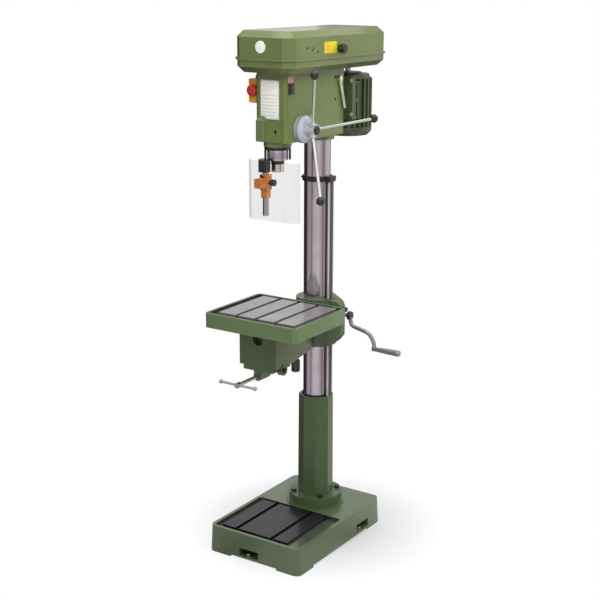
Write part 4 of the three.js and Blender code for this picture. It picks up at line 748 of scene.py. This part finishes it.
class DrillStudio(bpy.types.PropertyGroup):
    """Camera and light."""
    distance: length_setting("Camera distance", "From the column's axis, along the floor", 4.140)
    height: length_setting("Camera height", "Above the floor", 1.9397)
    azimuth: angle_setting("Azimuth", "Camera's turn to the operator's right", 32.9)
    pitch: angle_setting("Pitch", "Camera's downward tilt", 14.88)
    roll: angle_setting("Roll", "Camera's lean", 0.36)
    lens: number_setting("Lens", "Focal length on a 36 mm sensor", 73.94)
    shift: number_setting("Shift", "Sideways shift of the frame", -0.0275)
    ambient: number_setting("Ambient", "Light from all round", 0.60)
    key: number_setting("Key", "Power of the large lamp", 46.0)
    top: number_setting("Top", "Power of the overhead lamp", 22.0)
    rim: number_setting("Rim", "Power of the lamp behind", 36.0)


# Pieces

class DRILL_OT_stand(bpy.types.Operator):
    """Base, column foot and the bolts that hold them."""
    bl_idname = "drill.stand"
    bl_label = "Stand"

    def execute(self, context):
        sizes = context.scene.drill_sizes
        finish_all(
            (sizes.casting_edge, "base_paint", "base"),
            (sizes.casting_edge, "casting_paint", "column_socket"),
            (sizes.machined_edge, "black_steel", *[f"socket_bolt_{i}" for i in range(1, 5)]),
            (sizes.machined_edge, "bright_steel", "floor_bolt_front", "floor_bolt_right", "floor_bolt_left"))
        return {"FINISHED"}


class DRILL_OT_column(bpy.types.Operator):
    """Ground column, rack and the ring that holds the rack's end."""
    bl_idname = "drill.column"
    bl_label = "Column"

    def execute(self, context):
        low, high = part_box("column")
        wall = 0.008
        outer, inner = high[0], high[0] - wall
        tube = [(outer, low[2]), (outer, high[2]), (inner, high[2]), (inner, low[2])]
        turned(
            "column_tube", "column", "column_steel", tube, "z", (0, 0, 0), edge=0.001, sides=96, stands=True)
        finish_all((context.scene.drill_sizes.machined_edge, "black_steel", "rack_ring"))
        self.rack()
        reach, ring_z = 0.0508, middle("rack_ring").z
        for name, turn in (("ring_screw_front", -70), ("ring_screw_side", 200)):
            out = Vector((math.cos(math.radians(turn)), math.sin(math.radians(turn)), 0.0))
            place = out * reach + Vector((0, 0, ring_z))
            screws(name, "rack_ring", "black_steel", [place], tuple(out), radius=0.0042, height=0.005)
        return {"FINISHED"}

    def rack(self):
        """The rack's bar with its teeth."""
        low, high = (Vector(corner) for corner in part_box("rack"))
        pitch, height = 0.00628, 0.0037
        body = box_mesh(low, Vector((high.x - height, high.y, high.z)), 0.0004)
        mesh = grown(body, ROW, "rack_steel", {
            "Count": int((high.z - low.z) / pitch), "Size": (height, high.y - low.y, pitch * 0.72),
            "Taper": 0.42, "Start": (high.x - height / 2, (low.y + high.y) / 2, low.z + pitch / 2),
            "Step": (0.0, 0.0, pitch)})
        dress("rack_bar", "rack", "rack_steel", mesh, stands=True)


class DRILL_OT_carrier(bpy.types.Operator):
    """Carrier on the column with its lift gear, lock screw and crank."""
    bl_idname = "drill.carrier"
    bl_label = "Table carrier"

    def execute(self, context):
        finish_all(
            (context.scene.drill_sizes.casting_edge, "casting_paint", "table_carrier"),
            (0.0002, "worn_steel", "lift_gear"),
            (0.0003, "bright_steel", "crank_shaft"))
        axis = middle("crank_shaft")
        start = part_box("crank_shaft")[1][0]
        offset, throw = 0.098, 0.103
        shares = ((0.0, 0.0728), (0.1, 0.32), (0.42, 0.41), (0.78, 0.52), (0.97, 0.78), (1.0, 1.0))
        path = [(start + offset * out, axis.y, axis.z - throw * down) for out, down in shares]
        dress("crank_arm_bar", "crank_arm", "dull_steel", to_mesh(swept(smooth_path(path), 0.0070)))
        hub = [(0.0, -0.0071), (0.015, -0.0071), (0.015, 0.006), (0.0, 0.006)]
        place = (start, axis.y, axis.z)
        turned("crank_hub", "crank_arm", "black_steel", hub, "x", place, edge=0.002, slot="black_steel")
        end = (start + offset, axis.y, axis.z - throw)
        eye = [
            (0.0, -0.0065), (0.008, -0.0065), (0.008, 0.0065), (0.0038, 0.0065), (0.0038, 0.098),
            (0.0, 0.098)]
        turned("crank_eye", "crank_arm", "dull_steel", eye, "x", end, edge=0.001, stands=True)
        low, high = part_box("crank_grip")
        length = high[0] - low[0]
        grip = [
            (0.0044, 0.0), (0.0075, 0.0), (0.0082, length * 0.1), (0.0096, length * 0.5),
            (0.0105, length * 0.94), (0.0098, length), (0.0, length), (0.0, length - 0.0004),
            (0.0044, length - 0.0004)]
        place = (low[0], end[1], end[2])
        turned("crank_handle", "crank_grip", "dull_steel", grip, "x", place, edge=0.0012, stands=True)
        lock = [(0.0, 0.0), (0.005, 0.0), (0.005, 0.004), (0.0085, 0.005), (0.0085, 0.016), (0.0, 0.016)]
        place = (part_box("table_carrier")[1][0] - 0.0005, 0.0, 0.824)
        turned(
            "carrier_lock", "table_carrier", "black_steel", lock, "x", place, edge=0.001,
            slot="black_steel")
        return {"FINISHED"}


class DRILL_OT_table(bpy.types.Operator):
    """Slotted table, its tilting bracket, clamp and index plunger."""
    bl_idname = "drill.table"
    bl_label = "Table"

    def execute(self, context):
        sizes = context.scene.drill_sizes
        finish_all(
            (sizes.casting_edge, "table_paint", "table"),
            (sizes.casting_edge, "casting_paint", "table_bracket", "clamp_shoe"),
            (0.0004, "bright_steel", "clamp_screw", "tommy_bar"),
            (0.0012, "black_plastic", "index_plunger"))
        reach, bolt_y, bolt_z = 0.0756, -0.308, 0.680
        for name, side in (("bracket_bolt_right", 1.0), ("bracket_bolt_left", -1.0)):
            screws(
                name, "table_bracket", "black_steel", [(side * reach, bolt_y, bolt_z)], (side, 0.0, 0.0),
                radius=0.0085, height=0.007, washer=1.35)
        return {"FINISHED"}


class DRILL_OT_head(bpy.types.Operator):
    """Head casting with its bare instruction plate and bare label."""
    bl_idname = "drill.head"
    bl_label = "Head"

    def execute(self, context):
        sizes = context.scene.drill_sizes
        finish_all((sizes.casting_edge, "head_paint", "head_casting"))
        front, side, thick = -0.274, 0.060, sizes.plate_thickness
        bare_plate(
            "instruction_plate", "head_casting", "ruled_plate",
            (PLATE_LOW[0], front - thick, PLATE_LOW[1]), (PLATE_HIGH[0], front + thick, PLATE_HIGH[1]))
        low, high = plate_area(0.004, 0.0045, 0.0045)
        corners = [(x, front - thick, z) for x in (low[0], high[0]) for z in (low[2], high[2])]
        screws(
            "plate_rivets", "head_casting", "drum_alloy", corners, (0.0, -1.0, 0.0), radius=0.0016,
            height=0.0012, sides=12, washer=1.1)
        bare_plate(
            "switch_label", "head_casting", "rose_plate",
            (side - thick, -0.264, 1.6055), (side + thick, -0.236, 1.6270))
        low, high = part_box("head_casting")
        for name, wall, out in (("side_screws_right", high[0], 1.0), ("side_screws_left", low[0], -1.0)):
            spots = [(wall - out * SEAT, 0.0148, z) for z in (1.534, 1.607)]
            screws(
                name, "head_casting", "black_steel", spots, (out, 0.0, 0.0), radius=0.0036, height=0.0024,
                sides=12, washer=1.25, slot="black_steel")
        return {"FINISHED"}


class DRILL_OT_spindle(bpy.types.Operator):
    """Quill, spindle and their bearings."""
    bl_idname = "drill.spindle"
    bl_label = "Spindle"

    def execute(self, context):
        finish_all(
            (context.scene.drill_sizes.machined_edge, "polished_steel", "quill"),
            (0.0006, "chrome", "spindle"),
            (0.0004, "chrome", "lower_bearing", "upper_bearing"))
        quill = middle("quill")
        for name, node in (("lower_balls", "lower_bearing"), ("upper_balls", "upper_bearing")):
            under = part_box(node)[0][2]
            ring(
                name, node, "worn_steel", count=12, radius=0.0205, bar=(0.005, 0.005, 0.0006), axis="z",
                centre=(quill.x, middle(node).y, under + SEAT))
        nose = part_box("quill")[0][2]
        ring(
            "collar_knurls", "quill", "pulley_alloy", count=44, radius=0.0334, bar=(0.0010, 0.0024, 0.020),
            axis="z", centre=(0.0, quill.y, nose + 0.017))
        nut = [(0.0150, -0.013), (0.0215, -0.013), (0.0215, -0.002), (0.0150, -0.002)]
        place = (0.0, quill.y, nose)
        turned("nose_nut", "spindle", "black_steel", nut, "z", place, edge=0.001, slot="black_steel")
        return {"FINISHED"}


def stepped(radii, bore, step, groove, width):
    """Outline of a pulley with one belt groove in each step."""
    points = [(bore, 0.0)]
    wall = (step - width) / 2
    slope = groove * 0.25
    for i, radius in enumerate(radii):
        z = i * step
        points += [
            (radius, z), (radius, z + wall), (radius - groove, z + wall + slope),
            (radius - groove, z + step - wall - slope), (radius, z + step - wall), (radius, z + step)]
    return [*points, (bore, len(radii) * step)]


class DRILL_OT_belt_drive(bpy.types.Operator):
    """Stepped pulleys and the cogged belt between them."""
    bl_idname = "drill.belt_drive"
    bl_label = "Belt drive"

    def execute(self, context):
        step, groove, width = 0.020, 0.009, 0.011
        big = [0.082 - 0.006 * i for i in range(4)]
        small = [0.026 + 0.006 * i for i in range(4)]
        for node, radii, bore in (("spindle_pulley", big, 0.0145), ("motor_pulley", small, 0.0098)):
            low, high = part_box(node)
            centre = (0.0, middle(node).y, high[2] - step * len(radii))
            outline = stepped(radii, bore, step, groove, width)
            turned(
                node + "_turned", node, "pulley_alloy", outline, "z", centre, edge=0.0008, sides=72,
                stands=True)
            drop = centre[2] - low[2]
            if drop > step / 4:
                sleeve = [(bore, -drop), (0.022, -drop), (0.022, SEAT), (bore, SEAT)]
                turned(node + "_sleeve", node, "pulley_alloy", sleeve, "z", centre, edge=0.001, sides=48)
        finish_all((0.0006, "belt_rubber", "drive_belt"), (0.0003, "bright_steel", "motor_shaft"))
        return {"FINISHED"}


class DRILL_OT_cover(bpy.types.Operator):
    """Belt tray and lid with its knob, hinge pin, bare badge and bare plate."""
    bl_idname = "drill.cover"
    bl_label = "Belt cover"

    def execute(self, context):
        sizes = context.scene.drill_sizes
        finish_all(
            (sizes.sheet_edge, "sheet_paint", "belt_tray", "lid"),
            (0.0016, "black_plastic", "lid_knob"),
            (0.0004, "bright_steel", "lid_hinge_pin"))
        front, side, thick = -0.327, 0.112, sizes.plate_thickness
        rim = [(0.0, -0.0006), (0.019, -0.0006), (0.019, thick), (0.0, thick)]
        place = (0.0, front - thick, 1.717)
        turned("lid_badge", "lid", "label_plate", rim, "y", place, edge=0.0005, slot="drum_alloy")
        bare_plate(
            "lid_plate", "lid", "yellow_plate", (side - thick, -0.137, 1.692), (side + thick, -0.064, 1.728))
        spots = ((-0.235, 1.714), (-0.205, 1.706), (-0.198, 1.712), (-0.172, 1.700))
        screws(
            "lid_screws", "lid", "black_steel", [(side - SEAT, y, z) for y, z in spots], (1.0, 0.0, 0.0),
            radius=0.0026, height=0.0022, sides=12, washer=1.2, slot="black_steel")
        return {"FINISHED"}


class DRILL_OT_feed(bpy.types.Operator):
    """Feed shaft, depth drum, hub, three levers with knobs, and the spring cup."""
    bl_idname = "drill.feed"
    bl_label = "Feed"

    def execute(self, context):
        sizes = context.scene.drill_sizes
        finish_all(
            (0.0002, "bright_steel", "feed_shaft"),
            (0.0010, "drum_alloy", "depth_drum", "spring_housing"),
            (0.0012, "drum_alloy", "feed_hub"),
            (0.0, "chrome", *[f"feed_lever_{i}" for i in range(1, 4)]))
        for node in [f"lever_knob_{i}" for i in range(1, 4)]:
            dress(node + "_ball", node, "black_plastic", to_mesh(ball(middle(node), 0.014)), stands=True)
        low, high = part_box("hub_cap")
        length = high[0] - low[0]
        cap = [
            (0.0, 0.0), (0.011, 0.0), (0.0145, 0.0012), (0.0145, length * 0.6), (0.011, length),
            (0.0, length)]
        axis = middle("hub_cap")
        place = (low[0], axis.y, axis.z)
        turned("hub_cap_knob", "hub_cap", "black_plastic", cap, "x", place, edge=0.002, stands=True)
        drum = middle("depth_drum")
        tick_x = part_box("depth_drum")[0][0] + 0.010
        for name, count, bar in (
                ("drum_ticks", sizes.ticks, (0.0005, 0.0006, sizes.tick_length)),
                ("drum_long_ticks", sizes.ticks // 6, (0.0006, 0.0009, sizes.tick_length * 1.7))):
            ring(
                name, "depth_drum", "black_steel", count, radius=0.0440, bar=bar, axis="x",
                centre=(tick_x, drum.y, drum.z), slot="black_steel")
        cup, reach = middle("spring_housing"), 0.024
        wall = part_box("spring_housing")[0][0] + 0.0004
        turns = [math.radians(90 + 120 * i) for i in range(3)]
        places = [(wall, cup.y + reach * math.cos(t), cup.z + reach * math.sin(t)) for t in turns]
        screws(
            "cup_screws", "spring_housing", "black_steel", places, (-1.0, 0.0, 0.0), radius=0.0028,
            height=0.003, slot="black_steel")
        return {"FINISHED"}


class DRILL_OT_motor(bpy.types.Operator):
    """Motor, fan cowl, sliding plate and belt tension lever."""
    bl_idname = "drill.motor"
    bl_label = "Motor"

    def execute(self, context):
        finish_all(
            (0.0006, "motor_paint", "motor_body"),
            (0.0010, "motor_paint", "fan_cowl"),
            (context.scene.drill_sizes.casting_edge, "casting_paint", "motor_plate"),
            (0.0, "chrome", "tension_lever"))
        axis, under = middle("fan_cowl"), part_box("fan_cowl")[0][2]
        ring(
            "cowl_ribs", "fan_cowl", "motor_paint", count=24, radius=0.045, bar=(0.050, 0.0035, 0.0016),
            axis="z", centre=(axis.x, axis.y, under + 0.0006))
        spots = [(x, 0.0915, z) for x in (-0.072, 0.072) for z in (1.478, 1.590)]
        screws(
            "plate_bolts", "motor_plate", "bright_steel", spots, (0.0, -1.0, 0.0), radius=0.0075,
            height=0.006)
        return {"FINISHED"}


class DRILL_OT_switches(bpy.types.Operator):
    """Stop button in its box, and the rocker switch in its frame."""
    bl_idname = "drill.switches"
    bl_label = "Switches"

    def execute(self, context):
        finish_all(
            (0.0020, "yellow_plastic", "stop_box"),
            (0.0008, "black_plastic", "switch_frame", "switch_rocker"))
        low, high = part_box("stop_button")
        axis = middle("stop_button")
        front, back, stem = low[1], high[1], 0.0088
        button = [
            (0.0, front), (0.008, front + 0.0004), (0.0145, front + 0.0018), (0.0180, front + 0.0048),
            (0.0190, front + 0.0085), (0.0186, front + 0.0130), (stem, front + 0.0130),
            (stem, back - 0.0025), (stem - 0.0025, back), (0.0, back)]
        bm = lathe(button, "y", (axis.x, 0.0, axis.z), 56, closed=False)
        dress("stop_mushroom", "stop_button", "red_plastic", to_mesh(bm), stands=True)
        gland = [(0.0, -0.001), (0.0085, -0.001), (0.0085, 0.006), (0.0065, 0.012), (0.0, 0.012)]
        place = (axis.x + 0.0045, middle("stop_box").y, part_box("stop_box")[1][2])
        turned(
            "stop_gland", "stop_box", "black_plastic", gland, "z", place, edge=0.0008, sides=32,
            slot="black_plastic")
        return {"FINISHED"}


class DRILL_OT_guard(bpy.types.Operator):
    """Swinging chuck guard: yoke, bar, slider, knob and clear shield."""
    bl_idname = "drill.guard"
    bl_label = "Chuck guard"

    def execute(self, context):
        finish_all(
            (0.0008, "black_steel", "guard_yoke"),
            (0.0003, "bright_steel", "guard_bar"),
            (0.0010, "orange_alloy", "guard_slider"),
            (0.0010, "black_plastic", "guard_knob"))
        low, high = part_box("guard_shield")
        curl, wall, steps = 0.028, 0.003, 14

        def bend(x, start, radius):
            turns = [start + 0.5 * math.pi * i / steps for i in range(steps + 1)]
            return [(x + radius * math.cos(t), low[1] + curl + radius * math.sin(t)) for t in turns]

        def outline(radius):
            return [*bend(low[0] + curl, math.pi, radius), *bend(high[0] - curl, 1.5 * math.pi, radius)]

        bm = bmesh.new()
        rows = [
            [[bm.verts.new((x, y, z)) for x, y in outline(radius)] for radius in (curl, curl - wall)]
            for z in (low[2], high[2])]
        for a, b in (*zip(*rows), *rows):
            for i in range(len(a) - 1):
                bm.faces.new((a[i], a[i + 1], b[i + 1], b[i]))
        for i in (0, -1):
            bm.faces.new((rows[0][0][i], rows[1][0][i], rows[1][1][i], rows[0][1][i]))
        bmesh.ops.recalc_face_normals(bm, faces=bm.faces)
        dress("shield_sheet", "guard_shield", "clear_plastic", to_mesh(bm, 50.0), stands=True)
        return {"FINISHED"}


# Stage

# What gloss sees round the horizon, by share of a turn: 0.5 is straight ahead of the camera's side,
# smaller is to its left, and each colour is linear light
ROOM_BANDS = (
    (0.00, (0.90, 0.90, 0.90)), (0.03, (0.04, 0.03, 0.03)), (0.225, (0.04, 0.03, 0.03)),
    (0.26, (0.50, 0.45, 0.46)), (0.34, (0.56, 0.51, 0.52)), (0.37, (0.20, 0.17, 0.18)),
    (0.41, (0.78, 0.71, 0.74)), (0.53, (0.88, 0.80, 0.83)), (0.61, (0.58, 0.53, 0.55)),
    (0.655, (0.22, 0.19, 0.19)), (0.68, (0.50, 0.46, 0.45)), (0.75, (0.82, 0.81, 0.70)),
    (0.87, (0.82, 0.81, 0.70)), (0.91, (0.05, 0.05, 0.05)), (1.00, (0.30, 0.30, 0.28)),
)
WHITE = (1.0, 1.0, 1.0, 1.0)

# Each lamp: its size, place and target, and whether gloss shows it
LAMPS = {
    "Key": (1.3, (1.95, -1.55, 3.0), (0.0, -0.1, 1.2), False),
    "Top": (2.0, (0.3, -0.5, 3.9), (0.0, -0.2, 0.9), True),
    "Rim": (0.9, (0.9, 2.5, 3.3), (0.1, 0.0, 1.75), False),
}


def rays(nodes):
    """1 on rays from the camera, off gloss and through glass."""
    path = nodes.add("ShaderNodeLightPath", {})
    return [path.output(name) for name in ("Is Camera Ray", "Is Glossy Ray", "Is Transmission Ray")]


def room(nodes, x, y):
    """What gloss sees in a level direction."""
    a = bpy.context.scene.drill_studio.azimuth
    ahead = x * math.sin(a) - y * math.cos(a)
    aside = x * math.cos(a) + y * math.sin(a)
    turn = aside.turn_from(ahead) / (2 * math.pi) + 0.5
    return nodes.add("ShaderNodeValToRGB", {"stops": ROOM_BANDS}, turn)


@finish_maker
def floor_paper(nodes):
    """Paper that keeps the shadow near the object and turns into the bright room further out."""
    place = nodes.place()
    far = nodes.add("ShaderNodeVectorMath", {"operation": "LENGTH"}, place, output=1)
    camera, glossy, through = rays(nodes)
    x, y, _ = nodes.axes(place)
    tone = nodes.blend(glossy, WHITE, room(nodes, x, y))
    paper = nodes.add("ShaderNodeBsdfDiffuse", {}, Color=(0.6, 0.6, 0.6, 1.0))
    light = nodes.add("ShaderNodeEmission", {}, Color=tone, Strength=1.0)
    seen = nodes.limited(camera + glossy + through)
    return nodes.add("ShaderNodeMixShader", {}, far.ramp(0.05, 0.46) * seen, paper, light)


class DRILL_OT_stage(bpy.types.Operator):
    """Floor, world, lamps and the camera of the photograph."""
    bl_idname = "drill.stage"
    bl_label = "Stage"

    def execute(self, context):
        studio = context.scene.drill_studio
        self.floor()
        self.world(studio.ambient)
        for name, (size, place, target, glossy) in LAMPS.items():
            self.lamp(name, size, getattr(studio, name.lower()), Vector(place), Vector(target), glossy)
        toward = Vector((math.sin(studio.azimuth), -math.cos(studio.azimuth), 0.0))
        camera = bpy.data.objects.new("Camera", bpy.data.cameras.new("Camera"))
        context.scene.collection.objects.link(camera)
        camera.location = toward * studio.distance + Vector((0, 0, studio.height))
        turn = Euler((math.pi / 2 - studio.pitch, 0.0, studio.azimuth)).to_matrix()
        camera.rotation_euler = (turn @ Matrix.Rotation(studio.roll, 3, "Z")).to_euler()
        camera.data.sensor_width = 36.0
        camera.data.lens = studio.lens
        camera.data.shift_x = studio.shift
        camera.data.clip_end = 100.0
        context.scene.camera = camera
        context.scene.view_settings.view_transform = "Standard"
        return {"FINISHED"}

    def floor(self):
        bm = bmesh.new()
        bmesh.ops.create_grid(bm, x_segments=1, y_segments=1, size=30.0)
        mesh = bpy.data.meshes.new("floor")
        bm.to_mesh(mesh)
        bm.free()
        new_piece("floor", mesh, floor_paper("studio_floor"))

    def world(self, ambient):
        world = bpy.data.worlds.new("Studio")
        world.use_nodes = True
        nodes = Nodes(world.node_tree)
        x, y, z = nodes.axes(nodes.add("ShaderNodeTexCoord", {}, output="Generated"))
        camera, glossy, through = rays(nodes)
        tone = nodes.blend(
            glossy, (ambient, ambient, ambient * 0.99, 1.0),
            nodes.blend(z.ramp(0.1, 0.6), room(nodes, x, y), WHITE))
        tone = nodes.blend(nodes.limited(camera + through), tone, WHITE)
        nodes.add("ShaderNodeOutputWorld", {}, nodes.add("ShaderNodeBackground", {}, tone, 1.0))
        bpy.context.scene.world = world

    def lamp(self, name, size, power, place, target, glossy):
        data = bpy.data.lights.new(name, "AREA")
        data.shape = "SQUARE"
        data.size = size
        data.energy = power
        lamp = bpy.data.objects.new(name, data)
        lamp.location = place
        lamp.visible_glossy = glossy
        lamp.rotation_euler = (target - place).to_track_quat("-Z", "Y").to_euler()
        bpy.context.scene.collection.objects.link(lamp)


class DRILL_PT_panel(bpy.types.Panel):
    """Sizes, colours and pieces of the drill."""
    bl_idname = "DRILL_PT_panel"
    bl_label = "Pillar drill"
    bl_space_type = "VIEW_3D"
    bl_region_type = "UI"
    bl_category = "Drill"

    def draw(self, context):
        for name, group in GROUPS.items():
            box = self.layout.box()
            for key in group.__annotations__:
                box.prop(getattr(context.scene, name), key)
        for maker in OPERATORS:
            self.layout.operator(maker.bl_idname)


OPERATORS = (
    DRILL_OT_stand, DRILL_OT_column, DRILL_OT_carrier, DRILL_OT_table, DRILL_OT_head, DRILL_OT_spindle,
    DRILL_OT_belt_drive, DRILL_OT_cover, DRILL_OT_feed, DRILL_OT_motor, DRILL_OT_switches, DRILL_OT_guard,
    DRILL_OT_stage)
GROUPS = {"drill_sizes": DrillSizes, "drill_colours": DrillColours, "drill_studio": DrillStudio}
CLASSES = (*GROUPS.values(), *OPERATORS, DRILL_PT_panel)


def register():
    for item in CLASSES:
        bpy.utils.register_class(item)
    for name, group in GROUPS.items():
        setattr(bpy.types.Scene, name, bpy.props.PointerProperty(type=group))


def unregister():
    for name in GROUPS:
        delattr(bpy.types.Scene, name)
    for item in reversed(CLASSES):
        bpy.utils.unregister_class(item)


def main():
    register()
    for maker in OPERATORS:
        getattr(bpy.ops.drill, maker.bl_idname.split(".")[1])()
    bpy.context.view_layer.update()


if __name__ == "__main__":
    main()
